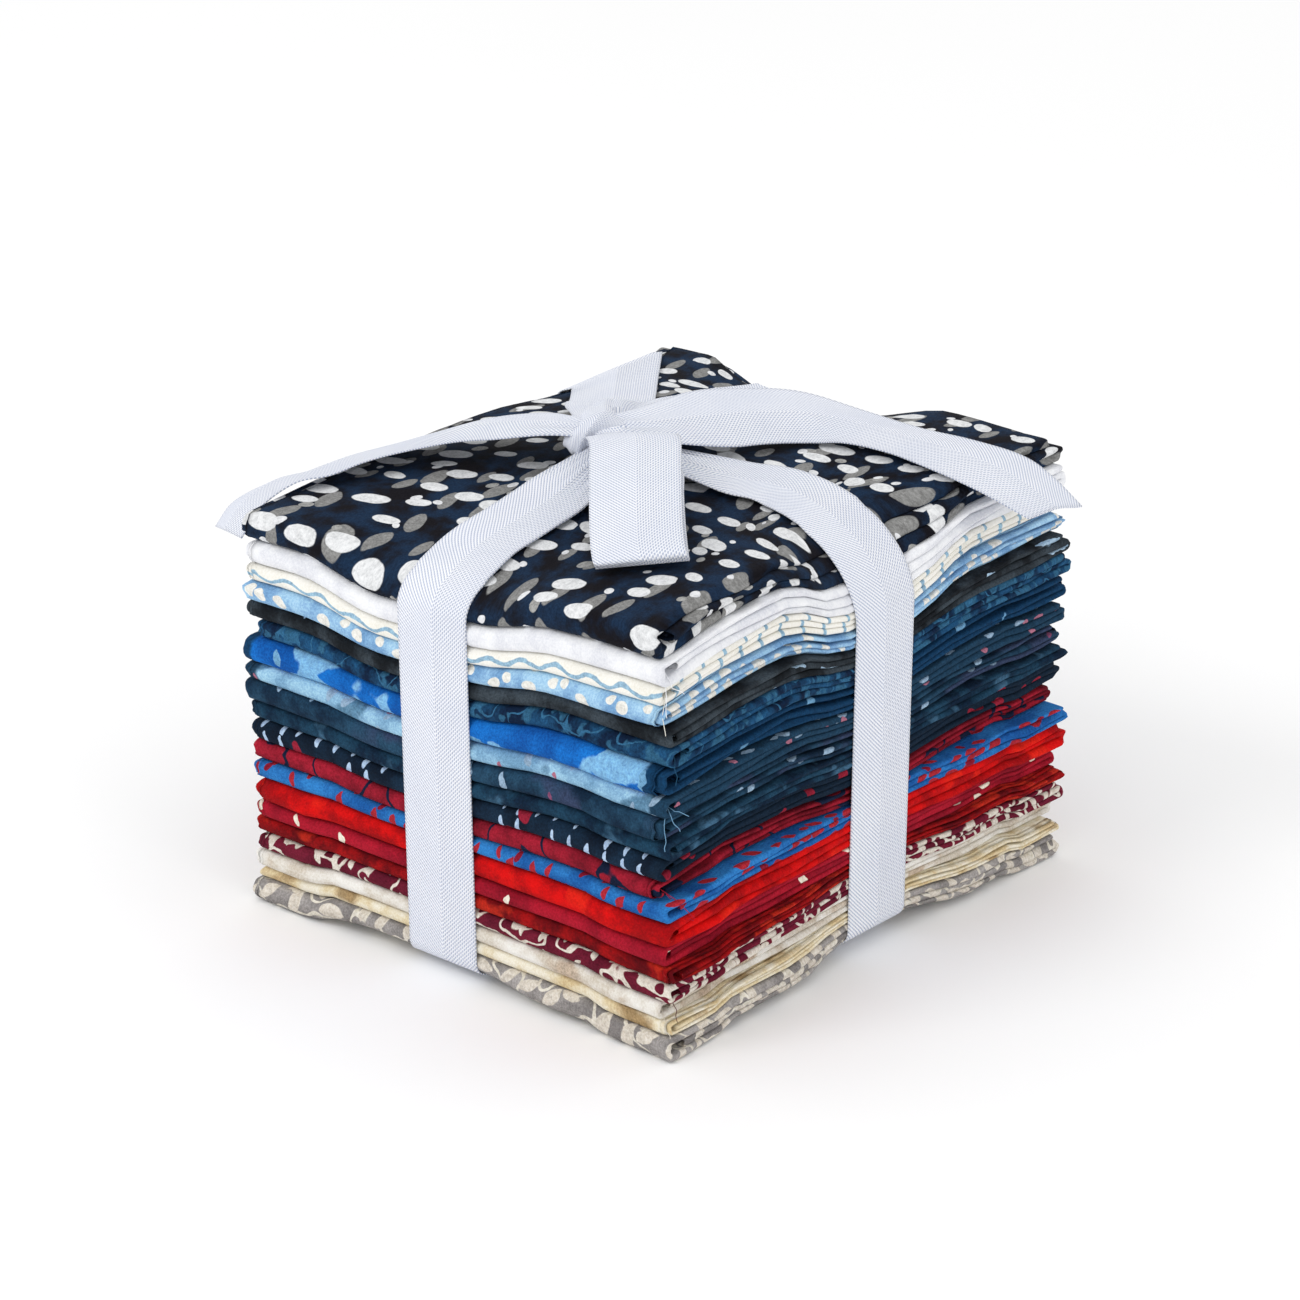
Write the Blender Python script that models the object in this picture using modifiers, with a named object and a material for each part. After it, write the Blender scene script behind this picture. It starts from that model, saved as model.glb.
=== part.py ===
"""Fat quarter bundle: twenty folded cuts of cotton, stacked and tied both ways with one ribbon.

Metres, +Z up. The origin is under the middle of the stack, at the surface it rests on.
The rounded fold of each cut faces -Y, and the layers show end on at +X and -X.
Each cut is first laid out in a straight stack, and settle() then presses it into the tied shape.
"""
import math
from collections import namedtuple

import bmesh
import bpy
from mathutils import Matrix, Vector

MM = 0.001

# The stack, before the ribbon is drawn tight
WIDTH = 153 * MM
DEPTH = 178 * MM
LAYERS = 3
GAP = 0.3 * MM
SHOULDER = 1.5 * MM
CROWN_TIED = {"front": 8 * MM, "back": 8 * MM, "left": 8 * MM, "right": 20 * MM}
FOOT_TIED = 4.5 * MM
FREE_EDGE_SHORT = 2 * MM
HOLLOW_REACH = 0.5 * MM
WRAP_STEPS = 5
TURN_STEPS = 3
COLUMNS_MM = (-76.5, -52, -28, 8, 40, 76.5)
ROWS_MM = (-50, -10, 20, 39, 76)

# How the ribbon presses the stack
DOME = 5.5 * MM
CORNER_RISE = {"front_left": 0.0, "front_right": 5.2 * MM, "back_left": 4.5 * MM,
               "back_right": 9.2 * MM}
TOP_DROP = {"front": 6.4 * MM, "back": 6.8 * MM, "left": 1.4 * MM, "right": 6.8 * MM}
BASE_LIFT = {"front": 1.2 * MM, "back": 1.6 * MM, "left": 2.0 * MM, "right": 2.9 * MM}
PRESS_ZONES = {"front": (-28 * MM, 6 * MM), "back": (-26 * MM, 4 * MM),
               "left": (42 * MM, 72 * MM), "right": (-8 * MM, 14 * MM)}
THIN_RIGHT = 3.0 * MM
THIN_AT = 112 * MM
THIN_REACH = 36 * MM
EDGE_REACH = 48 * MM
FALL_OFF = 32 * MM
GROOVE = 1.9 * MM
FOOT_REACH = 20 * MM
FOOT_FALL = 8 * MM
TUCKED_SHARE = 0.35
TIE_ZONES = {"front": (-34 * MM, 10 * MM), "back": (-34 * MM, 10 * MM),
             "left": (38 * MM, 78 * MM), "right": (-10 * MM, 20 * MM)}
CLEAR_FALL = 26 * MM

# The ribbon
RIBBON_WIDTH = 25.4 * MM
RIBBON_THICK = 1.0 * MM
RIBBON_CLEAR = 0.45 * MM
RIBBON_OFF = RIBBON_CLEAR + RIBBON_THICK / 2
BEND_STEPS = 6
ACROSS = 2
SIDE_PARTS = (0.66, 0.33)
STRAND_STEPS = 3
STRAND_LYING = 6
STRAND_GATHER = 0.45
MITRE_PART = 0.45
MITRE_FALL = 14 * MM
LYING_REACH = 5 * MM
UNDER_STEPS = 8
UNDER_SLACK = 1.3 * MM
CROSSING_LIFT = 0.2 * MM
LEAN = {"front": 2.5 * MM, "back": 4.0 * MM, "left": 0.0, "right": -2.2 * MM}
OUTWARD = {"front": (0, -1), "back": (0, 1), "left": (-1, 0), "right": (1, 0)}

Cut = namedtuple("Cut", "name colour height_mm left_mm right_mm front_mm back_mm")
# From the top of the stack down. The last four columns are how far each side stands out at its
# loose corners, away from the ribbon.
CUTS = (
    Cut("navy_spotted", (0.012, 0.016, 0.040), 8.5, 2.6, -2.4, 0.4, 1.0),
    Cut("white_mottled", (0.78, 0.79, 0.82), 7.0, 0.9, -0.5, 0.0, 1.2),
    Cut("cream_wavy", (0.80, 0.78, 0.70), 5.2, 0.5, -1.2, 0.2, 0.9),
    Cut("sky_dotted", (0.30, 0.46, 0.66), 6.0, 1.6, 0.0, 0.6, 0.2),
    Cut("charcoal", (0.030, 0.038, 0.044), 5.2, 1.7, 1.8, -0.5, -0.3),
    Cut("deep_blue", (0.008, 0.045, 0.125), 5.8, -1.8, 2.2, -0.9, 0.4),
    Cut("bright_blue", (0.010, 0.150, 0.480), 8.0, 2.0, 0.4, 0.8, 1.7),
    Cut("pale_blue", (0.36, 0.46, 0.60), 5.8, 2.4, 1.2, 0.3, -0.2),
    Cut("slate_blue", (0.035, 0.090, 0.160), 6.6, 2.0, 0.2, 0.5, -0.9),
    Cut("dark_teal", (0.012, 0.050, 0.085), 5.2, 1.2, 1.5, -0.4, 0.4),
    Cut("navy_dashed", (0.010, 0.035, 0.075), 6.2, 0.8, -1.0, 0.2, 0.6),
    Cut("crimson", (0.400, 0.020, 0.045), 6.2, 0.3, -1.8, -0.3, -1.2),
    Cut("mid_blue", (0.020, 0.160, 0.420), 5.4, 0.0, 2.2, 0.4, 0.8),
    Cut("bright_red", (0.600, 0.008, 0.010), 7.4, -0.4, 1.5, 0.6, 1.4),
    Cut("crimson_dabs", (0.420, 0.014, 0.055), 5.4, 0.1, -0.2, -0.2, -1.2),
    Cut("dark_red", (0.300, 0.006, 0.010), 4.8, 0.1, 2.6, -0.6, 0.3),
    Cut("maroon_scrolled", (0.200, 0.020, 0.050), 5.2, -0.8, 1.8, 0.1, 0.5),
    Cut("cream_mottled", (0.74, 0.70, 0.62), 5.2, -0.7, -1.2, 0.3, -0.8),
    Cut("butter_cream", (0.74, 0.64, 0.44), 4.2, -0.9, 2.6, -0.5, -1.4),
    Cut("grey_beige", (0.44, 0.42, 0.40), 7.0, 1.8, 2.6, 0.8, -2.0),
)
STACK_HEIGHT = sum(cut.height_mm for cut in CUTS) * MM


def clear_scene():
    for item in list(bpy.data.objects):
        bpy.data.objects.remove(item, do_unlink=True)


def new_collection(name):
    collection = bpy.data.collections.new(name)
    bpy.context.scene.collection.children.link(collection)
    return collection


def new_material(name, colour, roughness):
    material = bpy.data.materials.new(name)
    material.use_nodes = True
    shader = material.node_tree.nodes["Principled BSDF"]
    shader.inputs["Base Color"].default_value = (*colour, 1.0)
    shader.inputs["Roughness"].default_value = roughness
    shader.inputs["Metallic"].default_value = 0.0
    return material


def smooth(low, high, value):
    t = min(max((value - low) / (high - low), 0.0), 1.0)
    return t * t * (3.0 - 2.0 * t)


def near_edge(distance_from_middle, half):
    """0 well inside the stack, 1 at its edge."""
    return smooth(half - EDGE_REACH, half, distance_from_middle)


def within(zone, along, fall_off):
    """1 inside a zone along one side of the stack, falling to 0 on both sides of it."""
    low, high = zone
    outside = max(low - along, along - high, 0.0)
    return 1.0 - smooth(0.0, fall_off, outside)


def pressed(side, along):
    """How far the ribbon draws a side's edge down at one place along it."""
    return within(PRESS_ZONES[side], along, FALL_OFF)


def under_tie(side, along):
    """How far the ribbon holds a side's face back at one place along it."""
    return within(TIE_ZONES[side], along, CLEAR_FALL)


def side_weights(x, y):
    return {"front": near_edge(-y, DEPTH / 2) * pressed("front", x),
            "back": near_edge(y, DEPTH / 2) * pressed("back", x),
            "left": near_edge(-x, WIDTH / 2) * pressed("left", y),
            "right": near_edge(x, WIDTH / 2) * pressed("right", y)}


def base_height(x, y):
    """The underside of the stack: flat feet at the corners, raised over the ribbon."""
    weights = side_weights(x, y)
    lift = max(BASE_LIFT[side] * weights[side] for side in weights)
    foot_x, foot_y = WIDTH / 2 - FOOT_REACH, DEPTH / 2 - FOOT_REACH
    corner_x = smooth(foot_x - FOOT_FALL, foot_x, abs(x))
    corner_y = smooth(foot_y - FOOT_FALL, foot_y, abs(y))
    foot = corner_x * corner_y * (1.0 - max(weights.values()))
    return GROOVE * (1.0 - foot) + lift


def corner_rise(x, y):
    """The folds pile up unevenly, so that each corner of the top has a height of its own."""
    part_x = x / WIDTH + 0.5
    part_y = y / DEPTH + 0.5
    front = CORNER_RISE["front_left"] * (1.0 - part_x) + CORNER_RISE["front_right"] * part_x
    back = CORNER_RISE["back_left"] * (1.0 - part_x) + CORNER_RISE["back_right"] * part_x
    return front * (1.0 - part_y) + back * part_y


def top_height(x, y):
    """The top of the stack: domed in the middle, drawn down where the ribbon turns over it."""
    weights = side_weights(x, y)
    drop = max(TOP_DROP[side] * weights[side] for side in weights)
    across = min(abs(x) / (WIDTH / 2), 1.0)
    along = min(abs(y) / (DEPTH / 2), 1.0)
    dome = DOME * (1.0 - across ** 2) * (1.0 - along ** 2)
    return STACK_HEIGHT + dome + corner_rise(x, y) - drop


def crowd(x, y, z):
    """Lift the layers under the top cut towards the loose right edge, where it lies thin."""
    part = max(1.0 - (THIN_AT - z) / THIN_REACH, 0.0)
    if z > THIN_AT:
        part = max((STACK_HEIGHT - z) / (STACK_HEIGHT - THIN_AT), 0.0)
    along = smooth(-DEPTH / 2, -DEPTH / 4, y) * (1.0 - under_tie("right", y))
    return z + THIN_RIGHT * part * along * smooth(WIDTH / 8, WIDTH / 2, x)


def settle(x, y, z):
    """Move a point of the straight stack to its place in the tied bundle."""
    inside_x = min(max(x, -WIDTH / 2), WIDTH / 2)
    inside_y = min(max(y, -DEPTH / 2), DEPTH / 2)
    low = base_height(inside_x, inside_y)
    high = top_height(inside_x, inside_y)
    crowded = crowd(inside_x, inside_y, z)
    return Vector((x, y, low + crowded * (high - low) / STACK_HEIGHT))


def shoulder_inset(z, tie, side, loose):
    """How far a side's rounded upper or lower edge draws in at height z.

    tie is how far the ribbon holds the side there, and loose is the radius where it doesn't.
    """
    upper = z > STACK_HEIGHT / 2
    tied = CROWN_TIED[side] if upper else FOOT_TIED
    radius = loose + (tied - loose) * tie
    past = radius - (STACK_HEIGHT - z if upper else z)
    past = min(max(past, 0.0), radius)
    return radius - math.sqrt(radius ** 2 - past ** 2)


def overhang(outward, free):
    """A cut stands out only away from the ribbon, and one drawn in stays partly so under it."""
    if outward > 0.0:
        return outward * free
    return outward * (TUCKED_SHARE + (1.0 - TUCKED_SHARE) * free)


def loosen(cut, x, y, z):
    """Shift a point of one cut by that cut's own overhangs and the rounded edges."""
    side_x = "left" if x < 0 else "right"
    side_y = "front" if y < 0 else "back"
    out_x = (cut.left_mm if x < 0 else cut.right_mm) * MM
    out_y = (cut.front_mm if y < 0 else cut.back_mm) * MM
    free_x = 1.0 - under_tie(side_x, y)
    free_y = 1.0 - under_tie(side_y, x)
    reach_x = smooth(WIDTH / 4, WIDTH / 2, abs(x))
    reach_y = smooth(DEPTH / 4, DEPTH / 2, abs(y))
    tuck_x = shoulder_inset(z, 1.0 - free_x, side_x, SHOULDER)
    tuck_y = shoulder_inset(z, 1.0 - free_y, side_y, 0.0 if y < 0 else SHOULDER)
    sign_x = -1.0 if x < 0 else 1.0
    sign_y = -1.0 if y < 0 else 1.0
    return (x + sign_x * reach_x * (overhang(out_x, free_x) - tuck_x),
            y + sign_y * reach_y * (overhang(out_y, free_y) - tuck_y), z)


def fold_path(height):
    """The middle line of one cut's three layers, seen from +X, as (y, z) from its base.

    It runs from the free edge of the top layer, round the wide front fold, along the bottom
    layer, round the tight back fold, and ends in the front fold's hollow.
    """
    thick = (height - (LAYERS - 1) * GAP) / LAYERS
    bottom, middle, top = (thick / 2 + n * (thick + GAP) for n in range(LAYERS))
    wrap = (top - bottom) / 2
    turn = (middle - bottom) / 2
    rows = [row * MM for row in ROWS_MM]
    front = -DEPTH / 2 + thick / 2 + wrap
    back = DEPTH / 2 - thick / 2 - turn
    path = [(DEPTH / 2 - FREE_EDGE_SHORT, top)] + [(row, top) for row in reversed(rows)]
    for step in range(WRAP_STEPS + 1):
        angle = math.pi * (0.5 + step / WRAP_STEPS)
        path.append((front + wrap * math.cos(angle), bottom + wrap + wrap * math.sin(angle)))
    path += [(row, bottom) for row in rows]
    for step in range(TURN_STEPS + 1):
        angle = math.pi * (step / TURN_STEPS - 0.5)
        path.append((back + turn * math.cos(angle), bottom + turn + turn * math.sin(angle)))
    path += [(row, middle) for row in reversed(rows)]
    path.append((front + HOLLOW_REACH, middle))
    return path, thick


def sheet_object(name, collection, rows, columns, place, thick):
    """An open grid of rows by columns, placed by a function, made a closed sheet by Solidify."""
    mesh = bpy.data.meshes.new(name)
    shell = bmesh.new()
    bmesh.ops.create_grid(shell, x_segments=columns - 1, y_segments=rows - 1, size=1.0)
    for vert in shell.verts:
        column = round((vert.co.x + 1.0) / 2.0 * (columns - 1))
        row = round((vert.co.y + 1.0) / 2.0 * (rows - 1))
        vert.co = place(row, column)
    bmesh.ops.remove_doubles(shell, verts=shell.verts, dist=0.00001)
    bmesh.ops.recalc_face_normals(shell, faces=shell.faces)
    shell.to_mesh(mesh)
    shell.free()
    item = bpy.data.objects.new(name, mesh)
    collection.objects.link(item)
    solid = item.modifiers.new("Cloth thickness", "SOLIDIFY")
    solid.thickness = thick
    solid.offset = 0.0
    solid.use_even_offset = True
    return item


def apply_modifiers(item):
    """Keep the object's evaluated shape as its own mesh."""
    bpy.context.view_layer.update()
    evaluated = item.evaluated_get(bpy.context.evaluated_depsgraph_get())
    mesh = bpy.data.meshes.new_from_object(evaluated)
    item.modifiers.clear()
    item.data = mesh


def split_quads(item):
    """Split every quad along the same diagonal seen from above, so that layers stay parallel."""
    shell = bmesh.new()
    shell.from_mesh(item.data)
    for face in [face for face in shell.faces if len(face.verts) == 4]:
        corners = sorted(face.verts, key=lambda vert: vert.co.x / WIDTH + vert.co.y / DEPTH)
        near = corners[0]
        position = list(face.verts).index(near)
        far = face.verts[(position + 2) % 4]
        bmesh.utils.face_split(face, near, far)
    shell.to_mesh(item.data)
    shell.free()


def build_cut(number, cut, base, collection):
    path, thick = fold_path(cut.height_mm * MM - GAP)

    def place(row, column):
        y, z = path[row]
        return Vector((COLUMNS_MM[column] * MM, y, base + z))

    name = "fat_quarter_%02d_%s" % (number, cut.name)
    item = sheet_object(name, collection, len(path), len(COLUMNS_MM), place, thick)
    apply_modifiers(item)
    split_quads(item)
    for vert in item.data.vertices:
        vert.co = settle(*loosen(cut, *vert.co))
    item.data.materials.clear()
    item.data.materials.append(new_material("cotton_" + cut.name, cut.colour, 0.85))
    return item


def build_cuts(collection):
    base = STACK_HEIGHT
    for number, cut in enumerate(CUTS, start=1):
        base -= cut.height_mm * MM
        build_cut(number, cut, base, collection)


# The ribbon's bands, tails and loop. Each route is a list of stations chosen by hand, and a
# smooth curve is read through them.
Station = namedtuple("Station", "x_mm y_mm z_mm")
KNOT_AT = Station(-8, -17, 140.4)
KNOT_RADII = (13.5 * MM, 9.5 * MM, 6.0 * MM)
KNOT_TURN = math.radians(35)
LEVEL = None
OVER_TOP = {
    "front": (Station(-6.5, -80, LEVEL), Station(-7.5, -68, LEVEL), Station(-5.5, -55, LEVEL),
              Station(-3, -38, 132.6), Station(-4, -22, 138.5)),
    "back": (Station(-19, 80, LEVEL), Station(-18, 64, LEVEL), Station(-16.5, 46, LEVEL),
             Station(-14, 24, 134.5), Station(-11, -6, 139.5)),
    "right": (Station(55.5, 5.5, LEVEL), Station(48, 5.5, LEVEL), Station(38, 3.5, LEVEL),
              Station(24, -3.5, 133.0), Station(3, -15, 138.5)),
    "left": (Station(-67.5, 58, LEVEL), Station(-58, 46, LEVEL), Station(-46, 31, LEVEL),
             Station(-34, 15, 134.5), Station(-17, -8, 139.5)),
}
LOOP_OUT = (Station(-5, -18, 141.5), Station(6, -21, 146.0), Station(14.5, -28.5, 146.4),
            Station(25, -40.5, 143.2), Station(36, -53, 138.2), Station(46.5, -64.5, 133.4))
LOOP_BACK = (Station(44.5, -62.5, 129.8), Station(33.5, -51, 132.8), Station(23, -39.5, 136.2),
             Station(11, -26, 138.6), Station(-4, -18, 139.6))
LOOP_TILT = 0.13
LOOP_TURN = math.radians(40.8)
LOOP_END = 2.4 * MM
LOOP_STEPS = 2
LEFT_TAIL = (Station(-12, -19, 142.0), Station(-22, -22, 141.5), Station(-36, -22, 138),
             Station(-53, -24.5, 133.5), Station(-69, -36, 128.0), Station(-77, -47, 125.5),
             Station(-81, -58.5, 123.2), Station(-87, -66.3, 121.0), Station(-94, -73, 114.2),
             Station(-97.4, -77.6, 106))
LEFT_TAIL_ACROSS = ((0.25, -0.97, 0.0), (0.13, -0.99, 0.0), (0.13, -0.98, 0.0), (0.35, -0.92, 0.08),
                    (0.68, -0.68, 0.27), (0.82, -0.48, 0.31), (0.88, -0.36, 0.33),
                    (0.87, -0.36, 0.36), (0.87, -0.4, 0.3), (0.87, -0.45, 0.22))
RIGHT_TAIL = (Station(-8, -14, 142.5), Station(1, -6, 142.8), Station(7, 11.5, 141.0),
              Station(11.5, 26, 139.0), Station(18.5, 40.5, 136.4), Station(29.5, 48.6, 134.0),
              Station(45, 52.4, 132.6), Station(60, 53.9, 131.9), Station(76.3, 54.4, 130.6),
              Station(87.5, 53.8, 128.2), Station(98.5, 54, 123.6))
RIGHT_TAIL_ACROSS = ((0.9, -0.42, -0.1), (0.9, -0.4, -0.25), (0.87, -0.33, -0.36),
                     (0.86, -0.38, -0.34), (0.75, -0.6, -0.27), (0.45, -0.89, -0.03),
                     (0.25, -0.96, 0.06), (0.1, -0.98, 0.0), (0.0, -1.0, -0.06), (0.0, -1.0, 0.0),
                     (0.0, -0.98, 0.15))
TAIL_STEPS = 2
TAIL_START_WIDTH = 0.62 * RIBBON_WIDTH


def vector(station):
    return Vector((station.x_mm, station.y_mm, station.z_mm)) * MM


def curve_through(points, steps):
    """Points on a smooth curve through the given ones, steps to each span."""
    ends = [2 * points[0] - points[1]] + list(points) + [2 * points[-1] - points[-2]]
    out = []
    for a, b, c, d in zip(ends, ends[1:], ends[2:], ends[3:]):
        for step in range(steps):
            t = step / steps
            out.append(0.5 * (2 * b + (c - a) * t + (2 * a - 5 * b + 4 * c - d) * t ** 2
                              + (3 * b - a - 3 * c + d) * t ** 3))
    out.append(points[-1].copy())
    return out


def lying_height(x, y):
    """The middle of the ribbon where it lies on top: clear of the highest cloth under it."""
    steps = (-LYING_REACH, 0.0, LYING_REACH)
    highest = max(settle(x + i, y + j, STACK_HEIGHT).z for i in steps for j in steps)
    return highest + RIBBON_OFF


def over_top_rows(side):
    """Rows of points across one strand, from the edge of the stack up to the knot.

    The first row lies along the stack's edge, and the rows turn square to the strand after it.
    """
    middle = []
    for station in OVER_TOP[side]:
        x, y = station.x_mm * MM, station.y_mm * MM
        z = lying_height(x, y) if station.z_mm is LEVEL else station.z_mm * MM
        middle.append(Vector((x, y, z)))
    points = curve_through(middle, STRAND_STEPS)
    rows = []
    for index, point in enumerate(points):
        before = points[max(index - 1, 0)]
        after = points[min(index + 1, len(points) - 1)]
        along = Vector((after.x - before.x, after.y - before.y, 0.0)).normalized()
        across = Vector((along.y, -along.x, 0.0))
        part = index / (len(points) - 1)
        out = 0 if side in ("left", "right") else 1
        across -= along * (across[out] / along[out]) * (1.0 - smooth(0.0, MITRE_PART, part))
        width = RIBBON_WIDTH * (1.0 - STRAND_GATHER * smooth(0.72, 1.0, part))
        row = []
        for step in range(ACROSS + 1):
            spot = point + across * width * (step / ACROSS - 0.5)
            lying = lying_height(spot.x, spot.y)
            spot.z = max(point.z, lying) if index > STRAND_LYING else lying
            row.append(spot)
        rows.append(row)
    return rows


def round_the_edge(side, top_row):
    """Rows over the rounded top edge, down the side, and round the lower edge to the base."""
    outward = OUTWARD[side]
    half = (DEPTH if outward[1] else WIDTH) / 2
    crown = CROWN_TIED[side] + RIBBON_OFF
    foot = FOOT_TIED + RIBBON_OFF
    profile = []
    for step in range(1, BEND_STEPS + 1):
        angle = math.pi / 2 * (1 - step / BEND_STEPS)
        profile.append((half - CROWN_TIED[side] + crown * math.cos(angle),
                        STACK_HEIGHT - CROWN_TIED[side] + crown * math.sin(angle)))
    for part in SIDE_PARTS:
        profile.append((half + RIBBON_OFF, STACK_HEIGHT * part))
    for step in range(BEND_STEPS + 1):
        angle = math.pi / 2 * step / BEND_STEPS
        profile.append((half - FOOT_TIED + foot * math.cos(angle),
                        FOOT_TIED - foot * math.sin(angle)))
    along = [spot.x if outward[1] else spot.y for spot in top_row]
    centre = sum(along) / len(along)
    sign = 1.0 if along[-1] > along[0] else -1.0
    rows = []
    for out, z in profile:
        settled = min(max((STACK_HEIGHT - z) / MITRE_FALL, 0.0), 1.0)
        lean = LEAN[side] * (1.0 - z / STACK_HEIGHT)
        row = []
        for step in range(ACROSS + 1):
            straight = centre + sign * RIBBON_WIDTH * (step / ACROSS - 0.5)
            place = along[step] + (straight - along[step]) * settled + lean
            x, y = (place, outward[1] * out) if outward[1] else (outward[0] * out, place)
            row.append(settle(x, y, z))
        rows.append(row)
    return rows


def under_rows(start_row, end_row, height):
    """Rows under the stack from one lower edge to the other, flat on the surface in the middle."""
    rows = []
    for index in range(1, UNDER_STEPS):
        part = index / UNDER_STEPS
        row = []
        for a, b in zip(start_row, end_row):
            spot = a.lerp(b, part)
            under = settle(spot.x, spot.y, 0.0).z - RIBBON_OFF
            spot.z = max(height, under - UNDER_SLACK)
            row.append(spot)
        rows.append(row)
    return rows


def band_rows(first, second, height):
    """A whole band: knot, over one edge, down, under the stack, up, and back to the knot."""
    top_first = over_top_rows(first)
    top_second = over_top_rows(second)
    side_first = round_the_edge(first, top_first[0])
    side_second = [list(reversed(row)) for row in round_the_edge(second, top_second[0])]
    under = under_rows(side_first[-1], side_second[-1], height)
    return (list(reversed(top_first)) + side_first + under + list(reversed(side_second))
            + [list(reversed(row)) for row in top_second])


def free_rows(stations, across_list):
    """Rows across a free length of ribbon, its width turned as the list of directions says."""
    points = curve_through([vector(station) for station in stations], TAIL_STEPS)
    turns = curve_through([Vector(turn).normalized() for turn in across_list], TAIL_STEPS)
    rows = []
    for index, (point, turn) in enumerate(zip(points, turns)):
        opened = smooth(0.0, 0.22, index / (len(points) - 1))
        width = TAIL_START_WIDTH + (RIBBON_WIDTH - TAIL_START_WIDTH) * opened
        across = turn.normalized() * width
        rows.append([point + across * (step / ACROSS - 0.5) for step in range(ACROSS + 1)])
    return rows


def loop_rows():
    """Rows along the flattened loop that falls forward from the knot."""
    out = [vector(station) for station in LOOP_OUT]
    home = [vector(station) for station in LOOP_BACK]
    tip = (out[-1] + home[0]) / 2 + (out[-1] - out[-2]).normalized() * LOOP_END
    points = curve_through(out + [tip] + home, LOOP_STEPS)
    rows = []
    for index, point in enumerate(points):
        tilt = LOOP_TILT * (1.0 - abs(2.0 * index / (len(points) - 1) - 1.0))
        across = Vector((math.cos(LOOP_TURN), math.sin(LOOP_TURN), tilt)).normalized()
        rows.append([point + across * RIBBON_WIDTH * (step / ACROSS - 0.5)
                     for step in range(ACROSS + 1)])
    return rows


def build_strip(name, collection, rows):
    item = sheet_object(name, collection, len(rows), ACROSS + 1,
                        lambda row, column: rows[row][column], RIBBON_THICK)
    apply_modifiers(item)
    return item


def build_knot(collection):
    """The squat lump where both bands, the loop and the tails are drawn together."""
    mesh = bpy.data.meshes.new("knot_lump")
    lump = bmesh.new()
    bmesh.ops.create_uvsphere(lump, u_segments=12, v_segments=8, radius=1.0)
    shape = (Matrix.Translation(vector(KNOT_AT)) @ Matrix.Rotation(KNOT_TURN, 4, "Z")
             @ Matrix.Diagonal((*KNOT_RADII, 1.0)))
    bmesh.ops.transform(lump, matrix=shape, verts=lump.verts)
    lump.to_mesh(mesh)
    lump.free()
    item = bpy.data.objects.new("knot_lump", mesh)
    collection.objects.link(item)
    return item


def build_ribbon(collection, guides):
    """One ribbon: two bands, the knot, the front loop and two free tails, joined as one solid."""
    ribbon = build_strip("ribbon", collection, band_rows("front", "back", RIBBON_THICK / 2))
    pieces = [
        build_strip("band_across", guides,
                    band_rows("right", "left", RIBBON_THICK / 2 + CROSSING_LIFT)),
        build_knot(guides),
        build_strip("front_loop", guides, loop_rows()),
        build_strip("left_tail", guides, free_rows(LEFT_TAIL, LEFT_TAIL_ACROSS)),
        build_strip("right_tail", guides, free_rows(RIGHT_TAIL, RIGHT_TAIL_ACROSS)),
    ]
    for piece in pieces:
        piece.hide_render = True
        piece.display_type = "WIRE"
        join = ribbon.modifiers.new("Join " + piece.name, "BOOLEAN")
        join.operation = "UNION"
        join.solver = "EXACT"
        join.object = piece
    ribbon.data.materials.clear()
    ribbon.data.materials.append(new_material("ribbon_white", (0.86, 0.87, 0.91), 0.75))
    return ribbon


def main():
    clear_scene()
    bundle = new_collection("fat_quarter_bundle")
    guides = new_collection("ribbon_pieces")
    build_cuts(bundle)
    build_ribbon(bundle, guides)


main()
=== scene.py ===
import math
from collections import namedtuple

import bmesh
import bpy
from mathutils import Matrix, Vector, noise


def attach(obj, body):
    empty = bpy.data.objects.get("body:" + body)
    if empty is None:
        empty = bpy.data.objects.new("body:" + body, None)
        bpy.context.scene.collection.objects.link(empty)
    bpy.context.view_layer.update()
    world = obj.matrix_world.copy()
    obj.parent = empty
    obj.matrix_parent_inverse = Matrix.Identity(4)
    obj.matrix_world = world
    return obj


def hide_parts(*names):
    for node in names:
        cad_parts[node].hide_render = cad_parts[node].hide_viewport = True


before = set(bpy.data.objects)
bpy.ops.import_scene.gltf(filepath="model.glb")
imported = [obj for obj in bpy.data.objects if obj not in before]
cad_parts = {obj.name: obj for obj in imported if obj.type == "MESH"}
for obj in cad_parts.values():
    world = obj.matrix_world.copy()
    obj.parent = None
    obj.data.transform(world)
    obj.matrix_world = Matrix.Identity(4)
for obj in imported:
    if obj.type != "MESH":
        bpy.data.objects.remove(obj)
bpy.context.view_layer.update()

MM = 0.001

# The shape of the tied stack
WIDTH = 153 * MM
DEPTH = 178 * MM
SHOULDER = 1.5 * MM
CROWN_TIED = {"front": 8 * MM, "back": 8 * MM, "left": 8 * MM, "right": 20 * MM}
FOOT_TIED = 4.5 * MM
DOME = 5.5 * MM
CORNER_RISE = {"front_left": 0, "front_right": 5.2 * MM, "back_left": 4.5 * MM,
               "back_right": 9.2 * MM}
TOP_DROP = {"front": 6.4 * MM, "back": 6.8 * MM, "left": 1.4 * MM, "right": 6.8 * MM}
BASE_LIFT = {"front": 1.2 * MM, "back": 1.6 * MM, "left": 2 * MM, "right": 2.9 * MM}
PRESS_ZONES = {"front": (-28 * MM, 6 * MM), "back": (-26 * MM, 4 * MM),
               "left": (42 * MM, 72 * MM), "right": (-8 * MM, 14 * MM)}
THIN_RIGHT = 2 * MM
THIN_AT = 112 * MM
THIN_REACH = 36 * MM
SWELL = 2.2 * MM
SWELL_FROM = 24 * MM
EDGE_REACH = 48 * MM
FALL_OFF = 32 * MM
GROOVE = 1.9 * MM
FOOT_REACH = 20 * MM
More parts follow.
